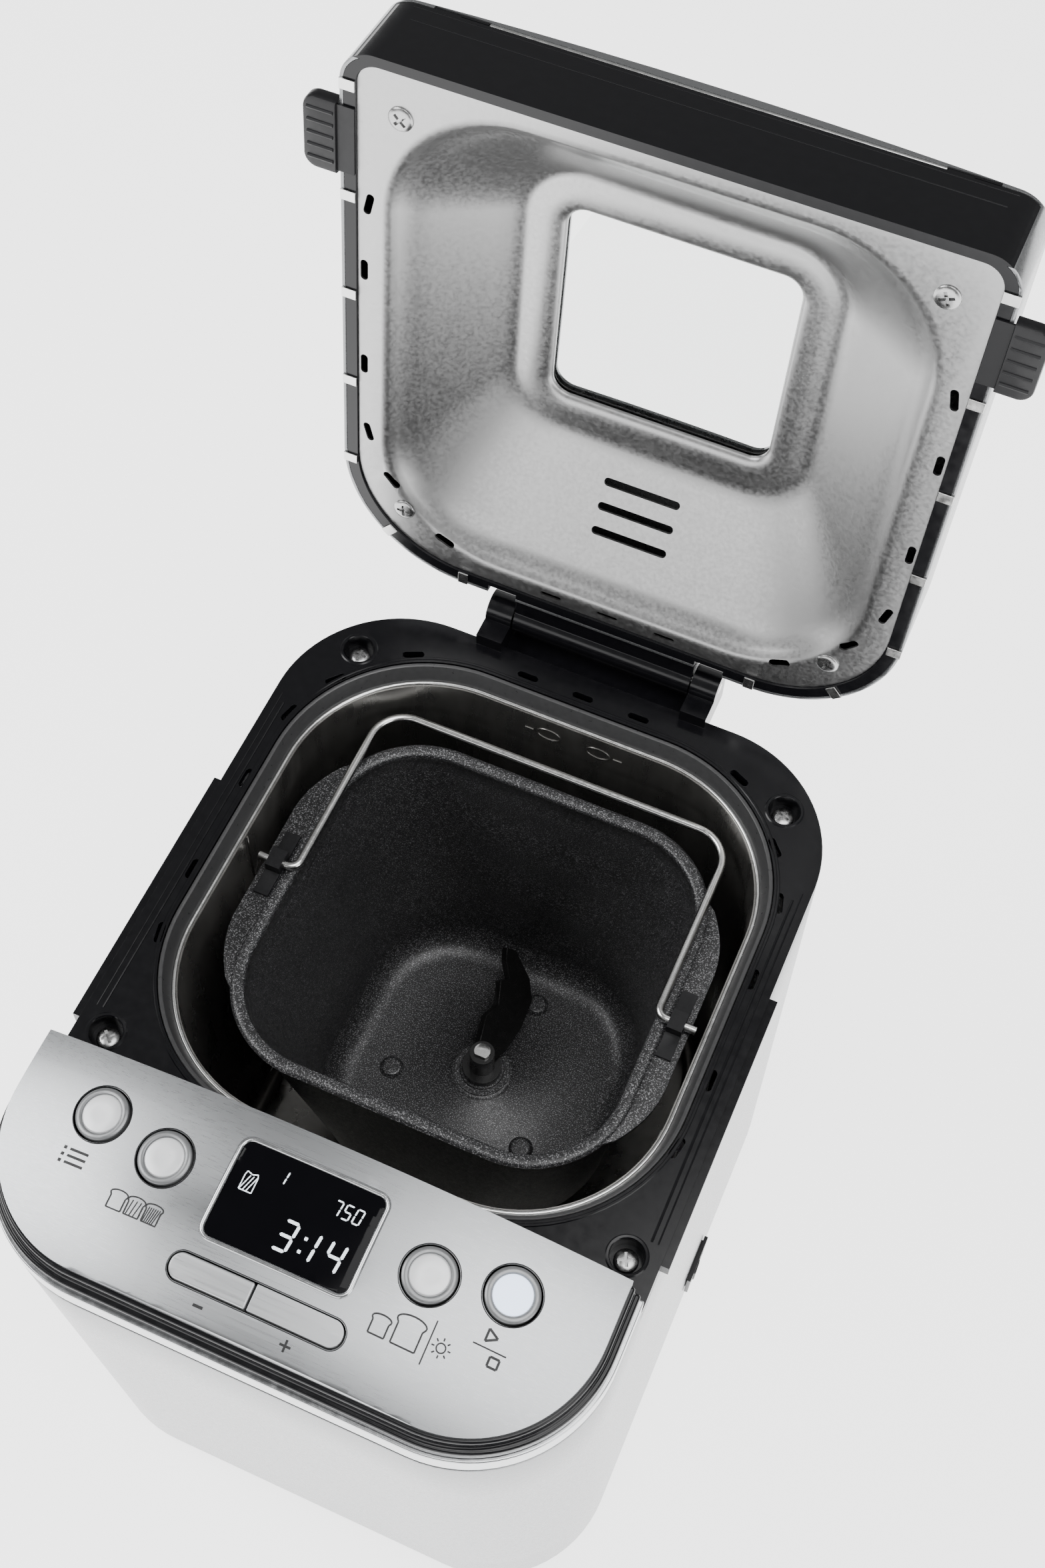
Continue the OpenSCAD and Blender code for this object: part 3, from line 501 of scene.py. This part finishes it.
def bar(p, q, width, lift, taper=0.5):
    """A flat segment with pointed ends, on the console's crown."""
    p, q = Vector(p), Vector(q)
    along = (q - p).normalized()
    side = Vector((-along.y, along.x)) * width / 2
    tip = along * width * taper
    pts = [p, p + tip + side, q - tip + side, q, q - tip - side, p + tip - side]
    low = [(v.x, v.y, crown(v.x, v.y, lift)) for v in pts]
    high = [(v.x, v.y, crown(v.x, v.y, lift + 0.06)) for v in pts]
    return loft([low, high], cap=(True, True))


def digit(symbol, x, y, w, h, width, slant=0.1):
    parts = []
    for s in DIGITS[symbol]:
        (ax, ay), (bx, by) = SEGMENTS[s]
        a = Vector((x + ax * w + ay * h / 2 * slant, y + ay * h / 2))
        b = Vector((x + bx * w + by * h / 2 * slant, y + by * h / 2))
        gap = (b - a).normalized() * width * 0.15
        parts.append(bar(a + gap, b - gap, width, -0.3))
    return parts


lit = []
for symbol, x in (("3", -2.6), ("1", 5.2), ("4", 14.2)):
    lit += digit(symbol, x, -140, 4.6, 9.4, 1.05)
lit += [bar((5.5 + d, -138.0 + y), (6.7 + d, -138.0 + y), 1.1, -0.3, 0.1)
        for d, y in ((0, 0), (0.4, 4.4))]
for symbol, x in (("7", 9.8), ("5", 13.5), ("0", 17.2)):
    lit += digit(symbol, x, -123.4, 2.3, 4.8, 0.5)
lit += digit("1", -9.5, -121, 1.6, 4.4, 0.5)
loaf = [(-20.5, -127.6), (-16, -127.6), (-16, -122.6), (-16.4, -121.4), (-18.2, -122),
        (-20.1, -121.4), (-20.5, -122.6)]
lit += [bar(loaf[i], loaf[(i + 1) % len(loaf)], 0.35, -0.3, 0.1) for i in range(len(loaf))]
lit += [bar((-20.3 + d, -127.4), (-18.6 + d, -122.4), 0.35, -0.3, 0.1) for d in (0, 1.2, 2.4)]
build("display_digits", *join(*lit), "lit", "base", "display_black")

# the round buttons: a dark gap, a ring, a fine groove and a lighter disc; the grey discs also glow
# faintly white, which is painted light, as no lamp is in them
BUTTONS = {"button_program": (-73, -122.5, "program"), "button_crust": (-46.8, -127.9, "crust"),
           "button_weight": (46.6, -128.1, "weight"), "button_start": (72.6, -122.8, "start")}
BUTTON_R = 9.0
RING = [(2.9, -9), (2.9, -8), (BUTTON_R, -7), (BUTTON_R, -0.1), (BUTTON_R - 0.15, 0.45),
        (BUTTON_R - 0.6, 0.8), (BUTTON_R - 1.6, 0.9), (BUTTON_R - 2.1, 0.75), (BUTTON_R - 2.3, 0.3),
        (BUTTON_R - 2.5, 0.3), (2.5, 0.2), (2.5, -9)]
DISC = [(0.0, -1), (BUTTON_R - 2.55, -1), (BUTTON_R - 2.55, 0.45), (BUTTON_R - 2.75, 0.7),
        (BUTTON_R - 3.2, 0.82), (3, 0.75), (0.0, 0.72)]
for node, (x, y, rides) in BUTTONS.items():
    place = crown_matrix(x, y, 0.1)
    lit_start = node == "button_start"
    build(node + "_ring", *moved(revolve(RING, steps=72), place), "key_ring", rides,
          "start_white" if lit_start else "button_grey", (node,))
    build(node + "_disc", *moved(revolve(DISC, closed=False, steps=72), place),
          "start" if lit_start else "disc", rides, "start_white" if lit_start else "button_grey")
    groove = [(BUTTON_R + 1.05, -0.05), (BUTTON_R + 0.95, 0.1), (BUTTON_R + 0.72, 0.14),
              (BUTTON_R + 0.65, -0.8), (BUTTON_R + 0.62, -0.9)]
    build(node + "_surround", *moved(revolve(groove, closed=False, steps=72), crown_matrix(x, y)),
          "satin_black", "base", "black")

KEYS = (60.0, 160.4, -152.0, 4.0, 4.0)
refine("key_minus", "key", 0.6, segments=3)
refine("key_plus", "key", 0.6, segments=3)
surround = [[(x, y, crown(x, y, lift)) for x, y in outline(
    (KEYS[0] + 2 * g, KEYS[1] + g, KEYS[2] + g, 4 + g, 4 + g), 0, 8, (), 14)]
    for g, lift in ((1.05, -0.05), (0.95, 0.1), (0.72, 0.14), (0.62, -0.8))]
build("keys_surround", *loft(surround), "satin_black", "base", "black")


def stroke(points, width=0.45, closed=False):
    pts = list(points) + ([points[0]] if closed else [])
    return [bar(pts[i], pts[i + 1], width * 1.55, 0.1, 0.0) for i in range(len(pts) - 1)]


def slice_outline(x, y, w, h):
    """A slice of bread: a square with a wider domed top."""
    pts = [(x, y), (x + w, y), (x + w, y + h * 0.66)]
    pts += [(x + w / 2 + w * 0.6 * math.cos(a), y + h * 0.8 + h * 0.2 * math.sin(a))
            for a in [math.radians(-20 + 220 * i / 12) for i in range(13)]]
    return pts + [(x, y + h * 0.66)]


ink = []
# program: a list
for i in range(3):
    ink += stroke([(-79.5, -136.4 - 2.2 * i), (-78.5, -136.4 - 2.2 * i)], 0.7)
    ink += stroke([(-77.2, -136.4 - 2.2 * i), (-70.5, -136.4 - 2.2 * i)], 0.55)
# crust: three slices, each with closer hatching
for i, lines in enumerate((0, 3, 6)):
    x0 = -57.5 + 6.4 * i
    ink += stroke(slice_outline(x0, -148.6, 5.2, 6.2), 0.3, True)
    for k in range(lines):
        f = (k + 0.6) / (lines + 0.2)
        ink += stroke([(x0 + 5.2 * f * 0.8, -148.4), (x0 + 0.4 + 4.8 * f, -143.6)], 0.2)
# loaf size: a small and a large loaf; lamp: a disc with rays
ink += stroke(slice_outline(36.0, -151.2, 5.4, 6.4), 0.35, True)
ink += stroke(slice_outline(43.6, -151.2, 8.2, 9.8), 0.35, True)
ink += stroke([(54.6, -153.5), (54.6, -139.5)], 0.3)
lamp = [(58.8 + 1.5 * math.cos(a), -146.5 + 1.5 * math.sin(a)) for a in
        [2 * math.pi * i / 14 for i in range(14)]]
ink += stroke(lamp, 0.3, True)
for i in range(8):
    a = 2 * math.pi * i / 8
    ink += stroke([(58.8 + 2.2 * math.cos(a), -146.5 + 2.2 * math.sin(a)),
                   (58.8 + 3.2 * math.cos(a), -146.5 + 3.2 * math.sin(a))], 0.3)
# start and stop: a triangle over a square
ink += stroke([(70.2, -138.9), (70.2, -134.9), (73.8, -136.9)], 0.5, True)
ink += stroke([(67.0, -140.7), (78.2, -140.7)], 0.3)
ink += stroke([(73.6, -145.4), (76.8, -145.4), (76.8, -142.4), (73.6, -142.4)], 0.5, True)
# minus and plus
ink += stroke([(-17.5, -165.0), (-14.1, -165.0)], 0.6)
ink += stroke([(12.6, -165.0), (16.4, -165.0)], 0.5) + stroke([(14.5, -166.9), (14.5, -163.1)], 0.5)
build("console_icons", *join(*ink), "ink", "base", "panel_steel")

# ---------------------------------------------------------------- deck

refine("deck", "black", 0.4, broad=True)
refine("hinge_pins", "steel", 0.3)
ridges = []
for side in (-1, 1):
    ridges.append(tube([(side * 104.2, y, -0.1) for y in (-78, -40, 0, 40, 62)], 0.5, 8))
    ridges.append(tube([(side * 106.6, y, -0.1) for y in (-78, -40, 0, 40, 66)], 0.35, 8))
CHAMBER = (188.0, 89.0, 102.0, 57.0, 57.0)
CHAMBER_GRID = (20, (-20, 10, 30), 8)  # points at a corner, on the sides, along front and rear
build("deck_ridges", *join(*ridges), "black", "base", "black")
ring_profile = [(-4.9, -6.8), (-4.9, -0.55), (-4.6, -0.25), (-4.0, -0.2), (-3.4, -0.5),
                (-1.1, -5.6), (-0.8, -6.8)]
build("chamber_collar", *plan_loft([(CHAMBER, i, z) for i, z in ring_profile], *CHAMBER_GRID,
                                   closed=True), "ring", "base", "ring_grey", ("chamber_ring",))
groove_line = [(-7.4, 0.02), (-7.1, 0.28), (-6.4, 0.28), (-6.1, 0.02)]
build("collar_bead", *plan_loft([(CHAMBER, i, z) for i, z in groove_line], *CHAMBER_GRID),
      "black", "base", "black")


def screw_head(r, height):
    """A pan head, with its seat at z = 0. Its cross recess is cut later."""
    head = [(0.0, 0.0), (r, 0.0), (r, height * 0.35), (r * 0.93, height * 0.66),
            (r * 0.72, height * 0.9), (r * 0.4, height), (0.0, height)]
    return revolve(head, closed=False, steps=40)


def screws(name, places, z, r, height, body_name, slot, replaces, lid=False, down=False):
    flip = Matrix.Rotation(math.pi, 4, "X") if down else Matrix()
    heads = [moved(screw_head(r, height), Matrix.Translation((x, y, z)) @ flip) for x, y in places]
    obj = build(name, *join(*heads), "screw", body_name, slot, replaces, lid)
    cutters = []
    for k, (x, y) in enumerate(places):
        for turn in (0, 90):
            t = turn + 23 * (k + 1)
            base = prism([(-r * 0.6, -r * 0.13), (r * 0.6, -r * 0.13), (r * 0.6, r * 0.13),
                          (-r * 0.6, r * 0.13)], height * 0.3, height * 2)
            cutters.append(moved(base, Matrix.Translation((x, y, z)) @ flip
                                 @ Matrix.Rotation(math.radians(t), 4, "Z")))
    cut(obj, cutters, lid)
    obj.data.set_sharp_from_angle(angle=math.radians(35))


deck_places = [(98.5, -85.7), (-98.5, -85.7), (88.6, 96.5), (-88.6, 96.5)]
screws("deck_screw_heads", deck_places, -6.5, 4.3, 2.4, "base", "bright_steel", ("deck_screws",))
wells = [revolve([(6.0, -6.4), (6.0, 0.02), (6.25, 0.3), (7.0, 0.35), (7.5, 0.02)], c, 48, False)
         for c in deck_places]
build("screw_wells", *join(*wells), "black", "base", "black")

# ---------------------------------------------------------------- chamber

FLOOR, RIM, SKIN = -202.0, -7.0, 1.2


def about_shaft(ring, r, z):
    """A circle round the shaft, with one point for each of a ring's."""
    angles = [math.atan2(y - SHAFT_Y, x) for x, y, _ in ring]
    return [(r * math.cos(a), SHAFT_Y + r * math.sin(a), z) for a in angles]


chamber_steps = [(0, FLOOR + 6), (0, RIM - 2), (-4.4, RIM - 2), (-4.5, RIM - 1.2),
                 (-1.0, RIM - 0.6), (SKIN, RIM - 0.6), (SKIN, FLOOR + 9), (2.2, FLOOR + 4.5),
                 (5, FLOOR + 2), (9, FLOOR + SKIN)]
chamber_in = [(CHAMBER, i, z) for i, z in chamber_steps]
walls = plan_loft(chamber_in, *CHAMBER_GRID)
floor_ring = [(x, y, FLOOR + SKIN) for x, y in outline(CHAMBER, 9, *CHAMBER_GRID)]
hole = about_shaft(floor_ring, 12.1, FLOOR + SKIN)
under = [(x, y, FLOOR) for x, y, _ in hole]
foot = [(x, y, FLOOR) for x, y in outline(CHAMBER, 7, *CHAMBER_GRID)]
low = [(x, y, FLOOR + 6) for x, y in outline(CHAMBER, 0, *CHAMBER_GRID)]
floor_part = loft([floor_ring, hole, under, foot, low])
build("chamber_wall", *join(walls, floor_part), "chamber", "base", "chamber_dark",
      ("chamber_liner",))
rolled = [(CHAMBER, i, z) for i, z in [(0.9 * math.cos(a) - 0.2, RIM - 0.4 + 0.9 * math.sin(a))
                                      for a in [2 * math.pi * k / 12 for k in range(12)]]]
build("chamber_rim", *plan_loft(rolled, *CHAMBER_GRID, closed=True), "rim", "base", "chamber_dark")
# the seam of the wall, and two plain embossed marks on its rear face
seam = tube([(-92.7, 8, z) for z in (RIM - 2, -100, FLOOR + 12)], 0.35, 8)
marks = [tube([(x + 5 * math.cos(a), 100.75, -17 + 3.2 * math.sin(a)) for a in
               [2 * math.pi * k / 16 for k in range(16)]], 0.35, 6, True) for x in (-9, 12)]
marks.append(tube([(-19, 100.75, -17), (-15.4, 100.75, -17)], 0.35, 6))
marks.append(tube([(18.4, 100.75, -17), (22, 100.75, -17)], 0.35, 6))
build("chamber_marks", *join(seam, *marks), "chamber", "base", "chamber_dark")

refine("heating_element", "heater", 0)
refine("pan_lock_ring", "plain", 0.3)
refine("temperature_sensor", "steel", 0.3)

# ---------------------------------------------------------------- pan

PAN_TOP = (153.0, 64.0, 81.0, 38.0, 38.0)
PAN_FOOT = (129.0, 44.5, 79.5, 44.0, 44.0)
PAN_FLOOR, FLANGE, FLANGE_T, PAN_MID = -169.5, -25.7, 2.0, 8.5
FOOT_H = 14
WING_X, WING_FLAT, WING_END, WING_FALL = 87.0, 24, 52, 11.0
PAN_SIDE = 14


def wall_z(f):
    """The height at a fraction of the pan's straight wall."""
    return PAN_FLOOR + FOOT_H + f * (FLANGE - PAN_FLOOR - FOOT_H)


def pan_plan(z):
    """The pan's wall opens out evenly from its foot to its flange."""
    t = max(0.0, (z - PAN_FLOOR - FOOT_H) / (FLANGE - PAN_FLOOR - FOOT_H))
    return tuple(a + (b - a) * t for a, b in zip(PAN_FOOT, PAN_TOP))


def pan_ring(inset, z, wing=False):
    """A ring of the pan, widened for its two side wings if asked."""
    ring = []
    for x, y in outline(pan_plan(z), inset, 20, PAN_SIDE, 10):
        off = abs(y - PAN_MID)
        if wing and off < WING_END:
            fall = max(0.0, (off - WING_FLAT) / (WING_END - WING_FLAT))
            x = math.copysign(max(abs(x), WING_X - WING_FALL * fall ** 2), x)
        ring.append((x, y, z))
    return ring


PAN_WALL, FILLET, FLOOR_INSET = 1.6, 13.0, 24
pan_rings = [pan_ring(i, PAN_FLOOR + z)
             for i, z in ((FLOOR_INSET, -3.5), (9.6, -3.5), (7.8, -2.9), (3.4, 2.5), (1.2, 7),
                          (0.2, 11))]
pan_rings += [pan_ring(0, wall_z(f)) for f in (0, 0.33, 0.66, 1)]
pan_rings += [pan_ring(-1.0, FLANGE + 0.01, True), pan_ring(-2, FLANGE + 0.4, True),
              pan_ring(-2, FLANGE + FLANGE_T - 0.4, True), pan_ring(-1.5, FLANGE + FLANGE_T, True),
              pan_ring(-1.6, FLANGE + FLANGE_T)]
# the wire rolled into the rim
pan_rings += [pan_ring(0.9 - 2.4 * math.cos(a), FLANGE + FLANGE_T - 0.1 + math.sin(a))
              for a in [math.radians(14 + 152 * k / 10) for k in range(11)]]
pan_rings += [pan_ring(3.4, FLANGE + 1), pan_ring(2.9, FLANGE - 0.6), pan_ring(1.8, FLANGE - 1.8)]
pan_rings += [pan_ring(PAN_WALL, wall_z(f)) for f in (0.9, 0.5, 0.2, 0)]
for k in range(1, 10):
    a = math.radians(10 * k)
    pan_rings.append(pan_ring(PAN_WALL + FILLET * (1 - math.cos(a)),
                              PAN_FLOOR + FILLET * (1 - math.sin(a))))
pan_rings.append(pan_ring(FLOOR_INSET, PAN_FLOOR))
pan_verts, pan_faces = loft(pan_rings)
inner = pan_rings[-1]


boss = [about_shaft(inner, r, PAN_FLOOR + z)
        for r, z in ((14.4, 0), (13.6, 0.7), (12.6, 1.0), (6.5, 1.0), (6.5, -3.5))]
pan_floor = loft([inner, *boss, pan_rings[0]])
bumps = []
for turn in (76, 202, 319):
    a = math.radians(turn)
    at = (39.5 * math.cos(a), SHAFT_Y + 39.5 * math.sin(a))
    bumps.append(revolve([(r, PAN_FLOOR + z) for r, z in ((5.4, -0.05), (4.8, 0.3), (4.5, 1.5),
                                                          (4.0, 1.95), (3.2, 2), (0.0, 2))],
                         at, 40, False))
build("pan_vessel", *join((pan_verts, pan_faces), pan_floor, *bumps), "pan", "pan", "pan_coating",
      ("pan",), sharp=50)
refine("pan_base", "pan", 0.4)
refine("bail_brackets", "satin_black", 0.5)
refine("shaft_seal", "pan", 0.3)
refine("bail_handle", "steel", 0)
refine("pan_shaft", "steel", 0.4)
refine("kneading_paddle", "paddle", 0.7, segments=3)

# ---------------------------------------------------------------- lid

LINER_Z, LINER_T = 2.0, 0.8
LINER = (208.0, 97.0, 115.0, 8.0, 45.0)
DOME = (185.0, 90.0, 107.0, 46.0, 46.0)
WINDOW = (84.0, 45.0, 38.0, 8.0, 8.0)
DOME_TOP = 31.0


def mix_plan(a, b, t):
    return tuple(p + (q - p) * t for p, q in zip(a, b))


def grown(plan, g):
    return (plan[0] + 2 * g, plan[1] + g, plan[2] + g, plan[3] + g, plan[4] + g)


WINDOW_SEAT = grown(WINDOW, 14)
DOME_IN = (DOME[0] - 16, DOME[1] - 8, DOME[2] - 8, 42.0, 42.0)


def liner_skin(lift):
    """The liner's rings from its edge to the window, on one side of the sheet."""
    z0 = LINER_Z + lift
    rings = [(LINER, 0, z0), (grown(DOME, 3.0), 0, z0), (grown(DOME, 1.0), 0, z0 + 0.25)]
    rings += [(mix_plan(DOME, DOME_IN, f), 0, z0 + h)
              for f, h in ((0.06, 1.1), (0.25, 3.2), (0.5, 5.4), (0.8, 7.2), (1.0, 8.3))]
    slope = [(0.12, 0.13), (0.3, 0.33), (0.5, 0.54), (0.7, 0.75), (0.85, 0.9), (0.94, 0.975),
             (1.0, 1.0)]
    rings += [(mix_plan(DOME_IN, WINDOW_SEAT, f), 0, z0 + 8.3 + (DOME_TOP - LINER_Z - 8.3) * h)
              for f, h in slope]
    # a flat frame round the window, then the edge that turns back to the glass
    top = DOME_TOP + lift
    frame_steps = [(12, -0.1), (9.5, -0.6), (6, -0.9), (3, -0.8), (1.2, -0.4), (0.3, 0.1),
                   (-0.3, 0.7), (-0.6, 1.2)]
    return rings + [(grown(WINDOW, g), 0, top + h) for g, h in frame_steps]


def liner_loft():
    down = liner_skin(0)
    up = list(reversed(liner_skin(LINER_T)))
    return plan_loft(down + up, 14, (), 8, closed=True)


liner = build("liner_sheet", *liner_loft(), "liner", "lid", "liner_steel", ("lid_liner",), True,
              sharp=60)
# the slots round the liner's edge (x, y, turn), the rear ones, then the vents in the dome
SLOTS = [(100, -44, 78), (101.7, -16.2, 90), (101.8, 26.2, 90), (100.1, 58.9, 105),
         (90.7, 80.1, 132), (68.1, 102.9, 155)]
liner_cuts = []
for x, y, turn in SLOTS:
    for s in (1, -1):
        a = turn if s > 0 else 180 - turn
        liner_cuts.append(prism(slot_points(s * x, y, 8.5, 2.8, a), 0, 5))
for x in (-23.2, 0, 23.2):
    liner_cuts.append(prism(slot_points(x, 111.6, 8.5, 1.9, 0), 0, 5))
for i in range(3):
    liner_cuts.append(prism(slot_points(0, 66.7 + 9 * i, 30, 3, 0), 3, 34))
cut(liner, liner_cuts, True)
liner.data.set_sharp_from_angle(angle=math.radians(50))

shell = refine("lid_shell", "silver", 0.9, flat=0.2, segments=3, sharp=30)
cut(shell, [prism([(-92, -102), (92, -102), (92, -98.2), (-92, -98.2)], 31, 33.3)], True)
shell.data.set_sharp_from_angle(angle=math.radians(30))
refine("lid_frame", "black", 0.35)
# a rolled edge lies in a recess along the lid's front, with a stepped black end at each side
EDGE_X, END_X = (-73, 75), 91.8
edge = [(x, -100.1, 32.6) for x in (EDGE_X[0], -36, 0, 36, EDGE_X[1])]
build("lid_front_edge", *tube(edge, 0.8, 12), "rim", "lid", "silver", (), True)
ends = [prism([(-END_X, -98.6), (END_X, -98.6), (END_X, -98.25), (-END_X, -98.25)], 31.2, 33.2)]
for x0, x1 in ((-END_X, EDGE_X[0] - 0.4), (EDGE_X[1] + 0.4, END_X)):
    ends.append(prism([(x0, -100.6), (x1, -100.6), (x1, -98.5), (x0, -98.5)], 31.95, 33.2))
    middle = (x0 + x1) / 2
    ends.append(prism([(middle, -100.9), (x1, -100.9), (x1, -98.5), (middle, -98.5)], 31.95, 32.7))
# two fine ledges across the black front
for half, z, r in ((96, 23.5, 0.28), (98, 30.2, 0.25)):
    ends.append(tube([(x, -100.7, z) for x in (-half, -40, 0, 40, half)], r, 8))
build("lid_front_ends", *join(*ends), "black", "lid", "black", (), True)
refine("lid_window", "glass", 0.3)
refine("window_gasket", "rubber", 0.4)
refine("lid_hinge_barrel", "black", 0.6)
refine("shell_tabs", "rim", 0.12)
lid_places = [(88.9, -80.8), (-88.9, -80.8), (85.1, 93), (-85.1, 93)]
screws("lid_screw_heads", lid_places, 2.0, 4.3, 1.2, "lid", "bright_steel", ("lid_screws",), True,
       True)

# finger grips: rounded pads with ribs along their outer edge
GRIP = (110.3, -81.0, 122.0, -54.0)


def grip():
    x0, y0, x1, y1 = GRIP
    r = 4.6
    pts = [(x0, y0)] + [(x1 - r + r * math.cos(a), y0 + r + r * math.sin(a)) for a in
                        [math.radians(-90 + 10 * k) for k in range(10)]]
    pts += [(x1 - r + r * math.cos(a), y1 - r + r * math.sin(a)) for a in
            [math.radians(10 * k) for k in range(10)]] + [(x0, y1)]
    cx, cy = (x0 + x1) / 2 - 3, (y0 + y1) / 2

    def ring(inset, z):
        return [(px + (cx - px) * inset / 12, py + (cy - py) * inset / 12, z) for px, py in pts]
    skin = loft([ring(12, -0.8), ring(1.2, -0.8), ring(0.3, -0.5), ring(0, 0.2), ring(0, 3.6),
                 ring(0.3, 4.3), ring(1.2, 4.6), ring(12, 4.6)])
    ribs = [tube([(x0 + 1, y0 + 4.2 + 4.6 * k, zz), (x1 - 1.6, y0 + 4.2 + 4.6 * k, zz)], 0.8, 8)
            for k in range(5) for zz in (-0.5, 4.3)]
    foot = prism([(x0 - 6, y0 + 1), (x0 + 1, y0 + 1), (x0 + 1, y1 - 1), (x0 - 6, y1 - 1)],
                 0.2, 0.95)
    return join(skin, foot, *ribs)


right_grip = grip()
build("finger_grips", *join(right_grip, mirror_x(right_grip)), "satin_black", "lid", "black",
      ("lid_grips",), True)

# ---------------------------------------------------------------- inside the casing

for node, mat in {"base_screws": "steel", "display_module": "board", "control_board": "board",
                  "heater_brackets": "plain", "chassis": "plain", "drive_bush": "bronze",
                  "motor_stator": "iron", "power_board": "board", "drive_belt": "rubber",
                  "thrust_washer": "bronze", "pan_bush": "bronze", "drive_shaft": "steel",
                  "large_pulley": "satin_black", "motor_rotor": "iron",
                  "motor_pulley": "satin_black"}.items():
    paint(node, mat)

# ---------------------------------------------------------------- camera, light, floor

CAMERA = Vector((134.4, -294.4, 657.1))
TARGET = Vector((-5.75, 66.6, 0))
ROLL = math.radians(2.68)
camera = bpy.data.objects.new("camera", bpy.data.cameras.new("camera"))
bpy.context.scene.collection.objects.link(camera)
camera.data.lens, camera.data.sensor_width = 46.43, 36.0
camera.data.clip_start, camera.data.clip_end = 0.01, 20
back = (CAMERA - TARGET).normalized()
right = Vector((0, 0, 1)).cross(back).normalized()
up = back.cross(right)
right, up = (math.cos(ROLL) * right + math.sin(ROLL) * up,
             math.cos(ROLL) * up - math.sin(ROLL) * right)
turn = Matrix((right, up, back)).transposed().to_4x4()
camera.matrix_world = Matrix.Translation(TO_ROW @ CAMERA) @ turn
bpy.context.scene.camera = camera


CENTRE = Vector((0, 0, 0.25))


def area_light(name, place, size, power):
    """A soft light, in metres and watts, aimed at the machine's middle."""
    data = bpy.data.lights.new(name, "AREA")
    data.shape, data.size, data.size_y = "RECTANGLE", size[0], size[1]
    data.energy = power
    obj = bpy.data.objects.new(name, data)
    obj.location = place
    obj.rotation_mode = "QUATERNION"
    obj.rotation_quaternion = (CENTRE - Vector(place)).to_track_quat("-Z", "Y")
    bpy.context.scene.collection.objects.link(obj)


area_light("key", (-1.1, -0.3, 1.4), (0.9, 0.9), 18)
area_light("top", (0.45, -0.1, 1.9), (1.2, 1.1), 20)
area_light("right_fill", (1.3, -0.5, 0.8), (0.7, 1.2), 8)
area_light("front_fill", (-0.2, -1.6, 0.6), (1.6, 0.8), 10)
world = bpy.data.worlds.new("studio")
world.use_nodes = True
world.node_tree.nodes["Background"].inputs["Color"].default_value = (1, 1, 1, 1)
world.node_tree.nodes["Background"].inputs["Strength"].default_value = 0.3
bpy.context.scene.world = world

FLOOR_HALF = 6.0
floor_mesh = bpy.data.meshes.new("floor")
floor_mesh.from_pydata([(x * FLOOR_HALF, y * FLOOR_HALF, 0)
                        for x, y in ((-1, -1), (1, -1), (1, 1), (-1, 1))], [], [(0, 1, 2, 3)])
floor = bpy.data.objects.new("floor", floor_mesh)
bpy.context.scene.collection.objects.link(floor)
floor_mesh.materials.append(MAT["floor"])

bpy.context.view_layer.update()
